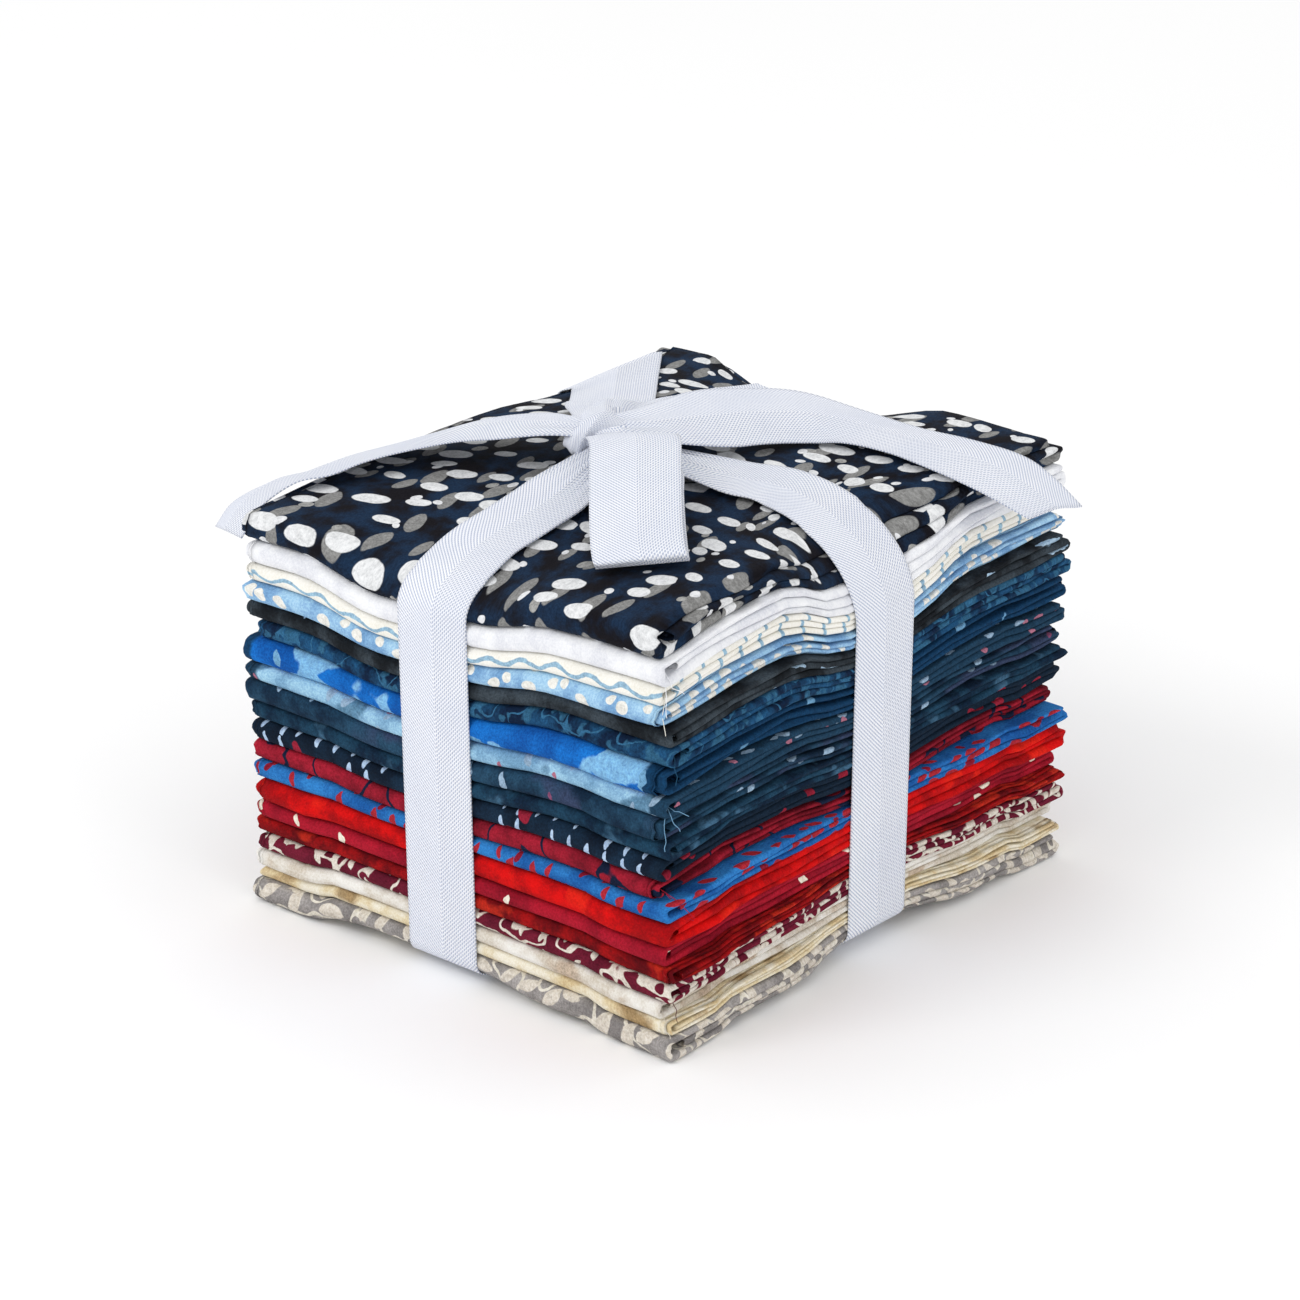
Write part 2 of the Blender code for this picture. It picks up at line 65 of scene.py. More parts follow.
FOOT_FALL = 8 * MM
TUCKED_SHARE = 0.35
TIE_ZONES = {"front": (-34 * MM, 10 * MM), "back": (-34 * MM, 10 * MM),
             "left": (38 * MM, 78 * MM), "right": (-10 * MM, 20 * MM)}
CLEAR_FALL = 26 * MM

# The cloth itself
CLOTH = 0.32 * MM
PILE_GAP = 0.20 * MM
LAYER_GAP = 0.14 * MM
FLAT_CUT = (0.457, 0.533)
FREE_EDGE_SHORT = 2.8 * MM
PANEL_CLEAR = 2 * MM
SLIP_REACH = 14 * MM
FOLD_SQUARENESS = 2.7
GRID = (27, 23)
TOP_GRID = (33, 27)
FIRST_DEPTH = 1.1
FIRST_HOLLOW = 1.5 * MM
FIRST_BEND_STEPS = 8
SECOND_DEPTH = 1.05
SECOND_BEND_STEPS = 10

# How far the cloth strays from a neat stack: how far out, and over what length and height
Wander = namedtuple("Wander", "reach span tall")
WAVE = Wander(0.55 * MM, 40 * MM, 26 * MM)
WAVE_FROM = 24 * MM
RIB = Wander(1.7 * MM, 24 * MM, 2.1 * MM)
FACE = Wander(1 * MM, 38 * MM, 14 * MM)
DENT = Wander(0.35 * MM, 9 * MM, 4 * MM)
UNEVEN = 0.09
UNEVEN_SPAN = 34 * MM
UNEVEN_ALONG = 80 * MM
# The topmost layer is drawn in at the right edge
TOP_STEP = 2.6 * MM
TOP_STEP_LOW = 3.4 * MM
TOP_STEP_HIGH = 2.4 * MM

Cut = namedtuple("Cut", "name height_mm left_mm right_mm front_mm back_mm hollow_mm turned")
# From the top of the stack down. hollow_mm is how far the innermost layer stops short of the
# front fold. A turned cut has its wide fold at -X and its tight fold and raw edge at +X.
CUTS = (
    Cut("navy_spotted", 8.5, 3.8, -2.4, 0.4, 1, 3.0, False),
    Cut("white_mottled", 7.0, 2.1, -0.5, 0, 1.2, 4.0, False),
    Cut("cream_wavy", 5.2, 1.7, -1.2, 0.2, 0.9, 4.5, False),
    Cut("sky_dotted", 6.0, 2.8, 0, 0.6, 0.2, 2, True),
    Cut("charcoal", 5.2, 2.9, 1.8, -0.5, -0.3, 0.5, False),
    Cut("deep_blue", 5.8, -0.6, 2.2, -0.9, 0.4, 5.0, False),
    Cut("bright_blue", 8.0, 3.2, 0.4, 0.8, 1.7, 4.0, True),
    Cut("pale_blue", 5.8, 3.6, 1.2, 0.3, -0.2, 2, False),
    Cut("slate_blue", 6.6, 3.2, 0.2, 0.5, -0.9, 1, True),
    Cut("dark_teal", 5.2, 2.4, 1.5, -0.4, 0.4, 1.5, False),
    Cut("navy_dashed", 6.2, 2, -1, 0.2, 0.6, 3.0, False),
    Cut("crimson", 6.2, 1.5, -1.8, -0.3, -1.2, 1, True),
    Cut("mid_blue", 5.4, 1.2, 2.2, 0.4, 0.8, 4.0, False),
    Cut("bright_red", 7.4, 0.8, 1.5, 0.6, 1.4, 1.5, False),
    Cut("crimson_dabs", 5.4, 1.3, -0.2, -0.2, -1.2, 1, False),
    Cut("dark_red", 4.8, 1.3, 2.6, -0.6, 0.3, 2, True),
    Cut("maroon_scrolled", 5.2, 0.4, 1.8, 0.1, 0.5, 2.5, False),
    Cut("cream_mottled", 5.2, 0.5, -1.2, 0.3, -0.8, 3.0, False),
    Cut("butter_cream", 4.2, 0.3, 2.6, -0.5, -1.4, 1, True),
    Cut("grey_beige", 7.0, 3.0, 2.6, 0.8, -2, 4.0, False),
)
STACK_HEIGHT = sum(cut.height_mm for cut in CUTS) * MM


def smooth(low, high, value):
    """0 at low, 1 at high, and a soft step between."""
    t = min(max((value - low) / (high - low), 0), 1)
    return t * t * (3.0 - 2 * t)


def near_edge(distance_from_middle, half):
    """0 well inside the stack, 1 at its edge."""
    return smooth(half - EDGE_REACH, half, distance_from_middle)


def within(zone, along, fall_off):
    """1 inside a zone along one side of the stack, falling to 0 on both sides of it."""
    low, high = zone
    outside = max(low - along, along - high, 0)
    return 1 - smooth(0, fall_off, outside)


def pressed(side, along):
    """How far the ribbon draws a side's edge down at one place along it."""
    return within(PRESS_ZONES[side], along, FALL_OFF)


def under_tie(side, along):
    """How far the ribbon holds a side's face back at one place along it."""
    return within(TIE_ZONES[side], along, CLEAR_FALL)


def side_weights(x, y):
    """How far each side's ribbon draws down the place (x, y)."""
    return {"front": near_edge(-y, DEPTH / 2) * pressed("front", x),
            "back": near_edge(y, DEPTH / 2) * pressed("back", x),
            "left": near_edge(-x, WIDTH / 2) * pressed("left", y),
            "right": near_edge(x, WIDTH / 2) * pressed("right", y)}


def base_height(x, y):
    """The underside of the stack: flat feet at the corners, raised over the ribbon."""
    weights = side_weights(x, y)
    lift = max(BASE_LIFT[side] * weights[side] for side in weights)
    foot_x, foot_y = WIDTH / 2 - FOOT_REACH, DEPTH / 2 - FOOT_REACH
    corner_x = smooth(foot_x - FOOT_FALL, foot_x, abs(x))
    corner_y = smooth(foot_y - FOOT_FALL, foot_y, abs(y))
    foot = corner_x * corner_y * (1 - max(weights.values()))
    return GROOVE * (1 - foot) + lift


def corner_rise(x, y):
    """The folds pile up unevenly, so that each corner of the top has a height of its own."""
    part_x = x / WIDTH + 0.5
    part_y = y / DEPTH + 0.5
    front = CORNER_RISE["front_left"] * (1 - part_x) + CORNER_RISE["front_right"] * part_x
    back = CORNER_RISE["back_left"] * (1 - part_x) + CORNER_RISE["back_right"] * part_x
    return front * (1 - part_y) + back * part_y


def top_height(x, y):
    """The top of the stack: domed in the middle, drawn down where the ribbon turns over it."""
    weights = side_weights(x, y)
    drop = max(TOP_DROP[side] * weights[side] for side in weights)
    across = min(abs(x) / (WIDTH / 2), 1)
    along = min(abs(y) / (DEPTH / 2), 1)
    dome = DOME * (1 - across ** 2) * (1 - along ** 2)
    swell = SWELL * smooth(WIDTH / 6, WIDTH / 2, x) * smooth(0, SWELL_FROM, DEPTH / 2 + y) \
        * smooth(0, SWELL_FROM, TIE_ZONES["right"][0] - y)
    return STACK_HEIGHT + dome + corner_rise(x, y) + swell - drop


def crowd(x, y, z):
    """Lift the layers under the top cut towards the loose right edge, where it lies thin."""
    part = max(1 - (THIN_AT - z) / THIN_REACH, 0)
    if z > THIN_AT:
        part = max((STACK_HEIGHT - z) / (STACK_HEIGHT - THIN_AT), 0)
    along = smooth(-DEPTH / 2, -DEPTH / 4, y) * (1 - under_tie("right", y))
    return z + THIN_RIGHT * part * along * smooth(WIDTH / 8, WIDTH / 2, x)


def stray(x, y, z):
    """Smooth noise between about -1 and 1."""
    return noise.noise(Vector((x, y, z)))


def wandered(kind, along, z, seed):
    """How far one kind of stray fold stands out at one place along a side."""
    return kind.reach * stray(along / kind.span, z / kind.tall, seed)


def settle(x, y, z):
    """Move a point of the straight stack to its place in the tied bundle."""
    inside_x = min(max(x, -WIDTH / 2), WIDTH / 2)
    inside_y = min(max(y, -DEPTH / 2), DEPTH / 2)
    low = base_height(inside_x, inside_y)
    high = top_height(inside_x, inside_y)
    wave = WAVE.reach * stray(x / WAVE.span, y / WAVE.span, z / WAVE.tall) \
        * smooth(0, WAVE_FROM, z)
    crowded = crowd(inside_x, inside_y, z)
    return Vector((x, y, low + crowded * (high - low) / STACK_HEIGHT + wave))


def shoulder_inset(z, tie, side, loose):
    """How far a side's rounded upper or lower edge draws in at height z.

    tie is how far the ribbon holds the side there, and loose is the radius where it doesn't.
    """
    upper = z > STACK_HEIGHT / 2
    tied = CROWN_TIED[side] if upper else FOOT_TIED
    radius = loose + (tied - loose) * tie
    past = radius - (STACK_HEIGHT - z if upper else z)
    past = min(max(past, 0), radius)
    return radius - math.sqrt(radius ** 2 - past ** 2)


def overhang(outward, free):
    """A cut stands out only away from the ribbon, and one drawn in stays partly so under it."""
    if outward > 0:
        return outward * free
    return outward * (TUCKED_SHARE + (1 - TUCKED_SHARE) * free)


def loosen(cut, number, x, y, z):
    """Shift a point of one cut by its overhangs, its stray folds and the rounded edges."""
    side_x = "left" if x < 0 else "right"
    side_y = "front" if y < 0 else "back"
    out_x = (cut.left_mm if x < 0 else cut.right_mm) * MM
    out_y = (cut.front_mm if y < 0 else cut.back_mm) * MM
    free_x = 1 - under_tie(side_x, y)
    free_y = 1 - under_tie(side_y, x)
    reach_x = smooth(WIDTH / 4, WIDTH / 2, abs(x))
    reach_y = smooth(DEPTH / 4, DEPTH / 2, abs(y))
    rib = wandered(RIB, y, z, number * 3.7 + (x > 0))
    if x > 0:
        rib -= TOP_STEP * smooth(STACK_HEIGHT - TOP_STEP_LOW, STACK_HEIGHT - TOP_STEP_HIGH, z)
    face = wandered(FACE, x, z, number * 5.3 + (y > 0))
    face += wandered(DENT, x, z, number * 1.7 + (y > 0))
    tuck_x = shoulder_inset(z, 1 - free_x, side_x, SHOULDER)
    tuck_y = shoulder_inset(z, 1 - free_y, side_y, 0 if y < 0 else SHOULDER)
    sign_x = -1 if x < 0 else 1
    sign_y = -1 if y < 0 else 1
    shift_x = overhang(out_x + rib, free_x) - tuck_x
    shift_y = overhang(out_y + face, free_y) - tuck_y
    return x + sign_x * reach_x * shift_x, y + sign_y * reach_y * shift_y, z


def spread(half, count):
    """Places from -half to half, closer together towards both ends."""
    steps = [2 * step / (count - 1) - 1 for step in range(count)]
    return [half * (1.25 * t - 0.25 * t ** 3) for t in steps]


Fold = namedtuple("Fold", "points lengths")


def letter_fold(half, pitch, depth, hollow, count, bend_steps):
    """A sheet folded in thirds, seen end on: points (along, height) and their places along it.

    The wide fold is at -half and the tight one at +half. Heights run from -pitch to pitch.
    """
    inner = spread(half - 2 * depth, count)
    points = [(half - FREE_EDGE_SHORT, pitch)] + [(place, pitch) for place in reversed(inner)]
    for step in range(bend_steps + 1):
        angle = math.pi * (0.5 + step / bend_steps)
        along = abs(math.cos(angle)) ** (2 / FOLD_SQUARENESS)
        high = abs(math.sin(angle)) ** (2 / FOLD_SQUARENESS)
        points.append((-half + depth - depth * along, math.copysign(high, math.sin(angle)) * pitch))
    points += [(place, -pitch) for place in inner]
    for step in range(bend_steps // 2 + 1):
        angle = math.pi * (step / (bend_steps // 2) - 0.5)
        points.append((half - pitch / 2 + pitch / 2 * math.cos(angle),
                       -pitch / 2 + pitch / 2 * math.sin(angle)))
    stop = -half + depth + hollow
    points += [(place, 0) for place in reversed(inner) if place > stop + PANEL_CLEAR]
    points.append((stop, 0))
    lengths = [0]
    for before, after in zip(points, points[1:]):
        lengths.append(lengths[-1] + math.dist(before, after))
    return Fold(points, lengths)


def around(points, index):
    """The points before and after one, or itself at an end."""
    return points[max(index - 1, 0)], points[min(index + 1, len(points) - 1)]


def folded_point(across, points, row, sheet_out):
    """The place of a point: sheet_out is how far it lies off the middle line of its layer."""
    before, after = around(points, row)
    point = points[row]
    run = math.dist(before, after)
    along_y = (after[0] - before[0]) / run
    along_z = (after[1] - before[1]) / run
    return across, point[0] + along_z * sheet_out, point[1] - along_y * sheet_out


def ply_slips(fold):
    """How far a ply runs ahead at each row by the two bends, for each unit off the middle."""
    turned = []
    for index in range(len(fold.points)):
        before, after = around(fold.points, index)
        way = math.atan2(after[1] - before[1], after[0] - before[0])
        last = turned[-1] if turned else way
        turned.append(last + math.remainder(way - last, 2 * math.pi))
    turned = [(way - turned[0]) / math.pi for way in turned]
    bends = [next(index for index, turn in enumerate(turned) if abs(turn) >= half)
             for half in (0.5, 1.5)]
    slips = []
    for length, turn in zip(fold.lengths, turned):
        slip = 0
        for bend, index in enumerate(bends):
            part = min(max(abs(turn) - bend, 0), 1) - 0.5
            slip += part * math.exp(-abs(length - fold.lengths[index]) / SLIP_REACH)
        slips.append(math.copysign(math.pi, turned[-1]) * slip)
    return slips


def show(name, data):
    """Put a new object into the scene."""
    item = bpy.data.objects.new(name, data)
    bpy.context.scene.collection.objects.link(item)
    return item


def show_mesh(name, shell):
    """Put a mesh that is ready into the scene."""
    mesh = bpy.data.meshes.new(name)
    shell.to_mesh(mesh)
    shell.free()
    return show(name, mesh)


def grid_sheet(name, rows, columns, place, flat_mm):
    """An open grid of quads, placed by a function, with its flat cloth places as its map."""
    shell = bmesh.new()
    spots = [[shell.verts.new(place(row, column)) for column in range(columns)]
             for row in range(rows)]
    flat = shell.loops.layers.uv.new("Flat")
    for row in range(rows - 1):
        for column in range(columns - 1):
            corners = ((row, column), (row, column + 1), (row + 1, column + 1), (row + 1, column))
            face = shell.faces.new([spots[i][j] for i, j in corners])
            face.smooth = True
            for loop, (i, j) in zip(face.loops, corners):
                loop[flat].uv = flat_mm(i, j)
    return show_mesh(name, shell)


def thicken(item, thickness):
    """Give an open sheet its thickness, and keep the result as its mesh."""
    solid = item.modifiers.new("Cloth thickness", "SOLIDIFY")
    solid.thickness = thickness
    solid.offset = 0
    bpy.context.view_layer.update()
    evaluated = item.evaluated_get(bpy.context.evaluated_depsgraph_get())
    mesh = bpy.data.meshes.new_from_object(evaluated)
    item.modifiers.clear()
    item.data = mesh
    mesh.shade_smooth()


def join(items, name):
    """Join several meshes into the first one."""
    merged = bmesh.new()
    for item in items:
        merged.from_mesh(item.data)
    mesh = bpy.data.meshes.new(name)
    merged.to_mesh(mesh)
    merged.free()
    mesh.shade_smooth()
    first = items[0]
    first.data = mesh
    first.name = name
    for item in items[1:]:
        bpy.data.objects.remove(item, do_unlink=True)
    return first


def build_cut(number, cut, base):
    """One fat quarter: folded in thirds across, then in thirds towards the back."""
    height = cut.height_mm * MM - PILE_GAP
    layer_pitch = (height + LAYER_GAP) / 3
    ply_pitch = (layer_pitch - LAYER_GAP - CLOTH) / 2
    columns, rows = TOP_GRID if number == 1 else GRID
    first = letter_fold(WIDTH / 2, ply_pitch, ply_pitch * FIRST_DEPTH, FIRST_HOLLOW, columns,
                        FIRST_BEND_STEPS)
    depth = layer_pitch * SECOND_DEPTH + ply_pitch
    second = letter_fold(DEPTH / 2 - ply_pitch, layer_pitch, depth - ply_pitch,
                         cut.hollow_mm * MM, rows, SECOND_BEND_STEPS)
    slips = ply_slips(second)
    middle = base + PILE_GAP / 2 + height / 2
    facing = 1 if cut.turned else -1

    def place(row, column):
        across, out = first.points[column]
        x, y, z = folded_point(facing * across, second.points, row, out)
        part = z / height + 0.5
        uneven = UNEVEN * height * math.sin(2 * math.pi * part) \
            * stray(y / UNEVEN_SPAN, number * 2.9, x / UNEVEN_ALONG)
        return settle(*loosen(cut, number, x, y, middle + z + uneven))

    def flat_mm(row, column):
        further = first.points[column][1] * slips[row]
        return first.lengths[column] / MM, (second.lengths[row] + further) / MM

    name = "cloth_%02d_%s" % (number, cut.name)
    item = grid_sheet(name, len(second.points), len(first.points), place, flat_mm)
    thicken(item, CLOTH)
    corner = settle(*loosen(cut, number, WIDTH / 2 - THREAD_IN, THREAD_BACK - DEPTH / 2, middle))
    threads = [build_thread(number, thread, corner) for thread in THREADS.get(cut.name, ())]
    return join([item] + threads, name)


# Stray threads at the front right corner: the cut they come from, and how far each one stands
# out along x, along -y and down, in millimetres.
Thread = namedtuple("Thread", "out_mm front_mm down_mm")
THREADS = {
    "white_mottled": (Thread(3.5, 4.0, 10), Thread(6.0, 1, 5)),
    "cream_wavy": (Thread(4.0, 4.0, 9),),
    "deep_blue": (Thread(4.5, 3.5, 6),),
    "pale_blue": (Thread(8.0, 2, 1), Thread(3.5, 5.0, 12), Thread(6.0, 3.5, 4)),
    "crimson": (Thread(8.5, -4.0, 7), Thread(5.5, -7.0, 10)),
    "maroon_scrolled": (Thread(5.0, 4.0, 6),),
    "cream_mottled": (Thread(5.0, 3.5, 6),),
}
THREAD_RADIUS = 0.11 * MM
THREAD_PLACE = (72.0, 40.0)
THREAD_IN = 1.2 * MM
THREAD_BACK = 3 * MM
THREAD_STEPS = 16
THREAD_SIDES = 5
THREAD_CURL = 2.4 * MM
THREAD_CURLS = 2.2


def build_thread(number, thread, start):
    """One frayed thread, curling out of the corner of a cut."""
    drop = Vector((thread.out_mm, -thread.front_mm, -thread.down_mm)) * MM
    path = []
    for step in range(THREAD_STEPS + 1):
        part = step / THREAD_STEPS
        seed = number * 7.1 + thread.down_mm
        curl = noise.noise_vector(Vector((part * THREAD_CURLS, seed, 0.3))) * THREAD_CURL * part
        path.append(start + drop * part + curl)
    shell = bmesh.new()
    angles = [math.radians(360 / THREAD_SIDES * side) for side in range(THREAD_SIDES)]
    rings = []
    for index, point in enumerate(path):
        before, after = around(path, index)
        turn = (after - before).to_track_quat("Z", "Y")
        rings.append([shell.verts.new(point + turn @ Vector((
            THREAD_RADIUS * math.cos(angle), THREAD_RADIUS * math.sin(angle), 0)))
            for angle in angles])
    flat = shell.loops.layers.uv.new("Flat")
    for ring, after in zip(rings, rings[1:]):
        for side in range(THREAD_SIDES):
            other = (side + 1) % THREAD_SIDES
            shell.faces.new((ring[side], ring[other], after[other], after[side])).smooth = True
    shell.faces.new(list(reversed(rings[0])))
    shell.faces.new(rings[-1])
    for face in shell.faces:
        for loop in face.loops:
            loop[flat].uv = THREAD_PLACE
    return show_mesh("thread", shell)


# The ribbon
RIBBON_WIDTH = 25.4 * MM
TAPE = 0.42 * MM
TAPE_OFF = 0.20 * MM + TAPE / 2
BEND_STEPS = 14
ACROSS = 20
SHARES = [step / ACROSS for step in range(ACROSS + 1)]
SIDE_PARTS = (0.8, 0.7, 0.6, 0.5, 0.4, 0.3, 0.2, 0.1)
STRAND_STEPS = 8
MITRE_PART = 0.45
MITRE_FALL = 14 * MM
LYING_REACH = 3 * MM
UNDER_STEPS = 24
LEAN = {"front": 2.5 * MM, "back": 4.0 * MM, "left": 0, "right": -2.2 * MM}
OUTWARD = {"front": (0, -1), "back": (0, 1), "left": (-1, 0), "right": (1, 0)}
UNDER_SAG = 0.5 * MM
PLEATS = 3.0
PLEAT_START = 0.6
GATHERED = {"front": 0.5, "back": 0.5, "right": 0.5, "left": 0.26}
# Parts of a strand's way to the knot: where it narrows, lifts off the stack and gathers
NARROWS = (0.66, 1)
LIFTS = (0.42, 0.6)
GATHERS = (0.45, 0.9)
WRAP_PLEATS = 0.5 * MM
WRAP_PLEAT_COUNT = 3.5
WRAP_PLEAT_START = 0.8
WRAP_RIDGE = 3.0 * MM
WRAP_RIDGE_AT = 0.42
WRAP_RIDGE_REACH = 0.42
BACK_RIDGE = 4.0 * MM
BACK_RIDGE_AT = 0.45
LOOP_SHIFT = 1.5 * MM

# Places along the ribbon, in millimetres; LEVEL stands for the height of the stack there
KNOT_AT = (-7, -16, 139.4)
KNOT_RADII = (9.0 * MM, 5.6 * MM, 4.0 * MM)
LEVEL = None
OVER_TOP = {
    "front": ((-6.5, -80, LEVEL), (-7.5, -68, LEVEL), (-5.5, -55, LEVEL),
              (-3, -38, 131.6), (-3, -22, 137.0)),
    "back": ((-19, 80, LEVEL), (-18, 64, LEVEL), (-16.5, 46, LEVEL),
             (-14, 24, 134.5), (-8, -8, 140.0)),
    "right": ((55.5, 5.5, LEVEL), (48, 5.5, LEVEL), (38, 3.5, LEVEL),
              (24, -3.5, 132.5), (3, -15, 137.0)),
    "left": ((-67.5, 58, LEVEL), (-58, 46, LEVEL), (-46, 31, LEVEL),
             (-34, 15, 133.5), (-18, -4, 139.8)),
}
LOOP_OUT = ((-4, -17, 141.0), (3, -19, 143.0), (9, -23.5, 145.8),
            (15, -29, 146.4), (25, -40.5, 143.4), (36, -53, 138.4),
            (46.5, -64.5, 133.4))
LOOP_BACK = ((44.5, -62.5, 129.8), (33.5, -51, 132.8), (23, -39.5, 136.2),
             (11, -26, 138.0), (-2, -18, 138.4))
LOOP_TILT = 0.13
LOOP_TURN = math.radians(40.8)
LOOP_END = 2.4 * MM
LOOP_STEPS = 6
LOOP_ARCH = 0.9 * MM
LEFT_TAIL = ((-12, -19, 142.0), (-22, -22, 141.5), (-36, -22, 138),
             (-53, -24.5, 133.0), (-68.6, -36, 127.2), (-76.6, -47, 124.6),
             (-81, -58.5, 122.4), (-87, -66.3, 120.5), (-94, -73, 114.2),
             (-97.4, -77.6, 106))
LEFT_TAIL_ACROSS = ((0.25, -0.97, 0), (0.13, -0.99, 0), (0.13, -0.98, 0), (0.35, -0.92, 0.08),
                    (0.68, -0.68, 0.27), (0.82, -0.48, 0.31), (0.88, -0.36, 0.33),
                    (0.87, -0.36, 0.36), (0.87, -0.4, 0.3), (0.87, -0.45, 0.22))
RIGHT_TAIL = ((-8, -14, 142.5), (1, -6, 142.8), (7, 11.5, 141.0),
              (11.5, 26, 139.0), (18.5, 40.5, 136.4), (29.5, 48.6, 134.0),
              (45, 52.4, 132.6), (60, 53.9, 131.9), (76.3, 54.4, 130.6),
              (87.5, 53.8, 128.2), (98.5, 54, 123.6))
RIGHT_TAIL_ACROSS = ((0.9, -0.42, -0.1), (0.9, -0.4, -0.25), (0.87, -0.33, -0.36),
                     (0.86, -0.38, -0.34), (0.75, -0.6, -0.27), (0.45, -0.89, -0.03),
                     (0.25, -0.96, 0.06), (0.1, -0.98, 0), (0, -1, -0.06), (0, -1, 0),
                     (0, -0.98, 0.15))
TAIL_STEPS = 7
TAIL_OPENS = 0.24
TAIL_START = 0.5
TAIL_CURL = 0.7 * MM


def vector(place_mm):
    """A place given in millimetres, in metres."""
    return Vector(place_mm) * MM


def curve_through(points, steps):
    """Points on a smooth curve through the given ones, steps to each span."""
    ends = [2 * points[0] - points[1]] + list(points) + [2 * points[-1] - points[-2]]
    out = []
    for a, b, c, d in zip(ends, ends[1:], ends[2:], ends[3:]):
        for step in range(steps):
            t = step / steps
            out.append(0.5 * (2 * b + (c - a) * t + (2 * a - 5 * b + 4 * c - d) * t ** 2
                              + (3 * b - a - 3 * c + d) * t ** 3))
    out.append(points[-1].copy())
    return out


def lying_height(x, y):
    """The middle of the tape where it lies on the top cut."""
    steps = (-LYING_REACH, 0, LYING_REACH)
    return max(settle(x + i, y + j, STACK_HEIGHT).z for i in steps for j in steps) + TAPE_OFF


def pleat(share, width):
    """How high a gathered tape stands at one place across it, so that it keeps its full width."""
    slack = max(RIBBON_WIDTH / width - 1, 0)
    height = width / (math.pi * PLEATS) * math.sqrt(slack)
    return height * math.cos(2 * math.pi * PLEATS * (share - 0.5) + PLEAT_START)


def gather_height(side, share, width):
    """How high the end of a strand stands at one place across it."""
    if side == "back":
        return BACK_RIDGE * (1 - abs(share - BACK_RIDGE_AT) / (1 - BACK_RIDGE_AT))
    if side != "left":
        return abs(pleat(share, width))
    ridge = smooth(WRAP_RIDGE_REACH, 0, abs(share - WRAP_RIDGE_AT))
    wave = math.cos(2 * math.pi * WRAP_PLEAT_COUNT * share + WRAP_PLEAT_START)
    return WRAP_RIDGE * ridge + WRAP_PLEATS * wave


def over_top_rows(side):
    """Rows across one strand, from the edge of the stack up to the knot."""
    middle = []
    for x_mm, y_mm, z_mm in OVER_TOP[side]:
        x, y = x_mm * MM, y_mm * MM
        z = lying_height(x, y) if z_mm is LEVEL else z_mm * MM
        middle.append(Vector((x, y, z)))
    points = curve_through(middle, STRAND_STEPS)
    rows = []
    for index, point in enumerate(points):
        before, after = around(points, index)
        along = Vector((after.x - before.x, after.y - before.y, 0)).normalized()
        across = Vector((along.y, -along.x, 0))
        part = index / (len(points) - 1)
        out = 0 if side in ("left", "right") else 1
        across -= along * (across[out] / along[out]) * (1 - smooth(0, MITRE_PART, part))
        width = RIBBON_WIDTH * (1 - GATHERED[side] * smooth(*NARROWS, part))
        row = []
        for share in SHARES:
            spot = point + across * width * (share - 0.5)
            lying = lying_height(spot.x, spot.y)
            spot.z = lying + max(point.z - lying, 0) * smooth(*LIFTS, part)
            spot.z += gather_height(side, share, width) * smooth(*GATHERS, part)
            row.append(spot)
        rows.append(row)
    return rows


def round_the_edge(side, top_row):
    """Rows over the rounded top edge, down the side, and round the lower edge to the base."""
    outward = OUTWARD[side]
    half = (DEPTH if outward[1] else WIDTH) / 2
    crown = CROWN_TIED[side] + TAPE_OFF
    foot = FOOT_TIED + TAPE_OFF
    profile = []
    for step in range(1, BEND_STEPS + 1):
        angle = math.pi / 2 * (1 - step / BEND_STEPS)
        profile.append((half - CROWN_TIED[side] + crown * math.cos(angle),
                        STACK_HEIGHT - CROWN_TIED[side] + crown * math.sin(angle)))
    for part in SIDE_PARTS:
        profile.append((half + TAPE_OFF, STACK_HEIGHT * part))
    for step in range(BEND_STEPS + 1):
        angle = math.pi / 2 * step / BEND_STEPS
        profile.append((half - FOOT_TIED + foot * math.cos(angle),
                        FOOT_TIED - foot * math.sin(angle)))
    along = [spot.x if outward[1] else spot.y for spot in top_row]
    centre = sum(along) / len(along)
    sign = 1 if along[-1] > along[0] else -1
    rows = []
    for out, z in profile:
        settled = min(max((STACK_HEIGHT - z) / MITRE_FALL, 0), 1)
        lean = LEAN[side] * (1 - z / STACK_HEIGHT)
        row = []
        for share, start in zip(SHARES, along):
            straight = centre + sign * RIBBON_WIDTH * (share - 0.5)
            place = start + (straight - start) * settled + lean
            x, y = (place, outward[1] * out) if outward[1] else (outward[0] * out, place)
            row.append(settle(x, y, z))
        rows.append(row)
    return rows


def under_rows(start_row, end_row, height):
    """Rows under the stack from one lower edge to the other."""
    rows = []
    for index in range(1, UNDER_STEPS):
        part = index / UNDER_STEPS
        row = []
        for a, b in zip(start_row, end_row):
            spot = a.lerp(b, part)
            spot.z = max(height, settle(spot.x, spot.y, 0).z - TAPE_OFF - UNDER_SAG)
            row.append(spot)
        rows.append(row)
    return rows


def band_rows(first, second, height):
    """A whole band: knot, over one edge, down, under the stack, up, and back to the knot."""
    top_first = over_top_rows(first)
    top_second = over_top_rows(second)
    side_first = round_the_edge(first, top_first[0])
    side_second = [list(reversed(row)) for row in round_the_edge(second, top_second[0])]
    under = under_rows(side_first[-1], side_second[-1], height)
    return (list(reversed(top_first)) + side_first + under + list(reversed(side_second))
            + [list(reversed(row)) for row in top_second])


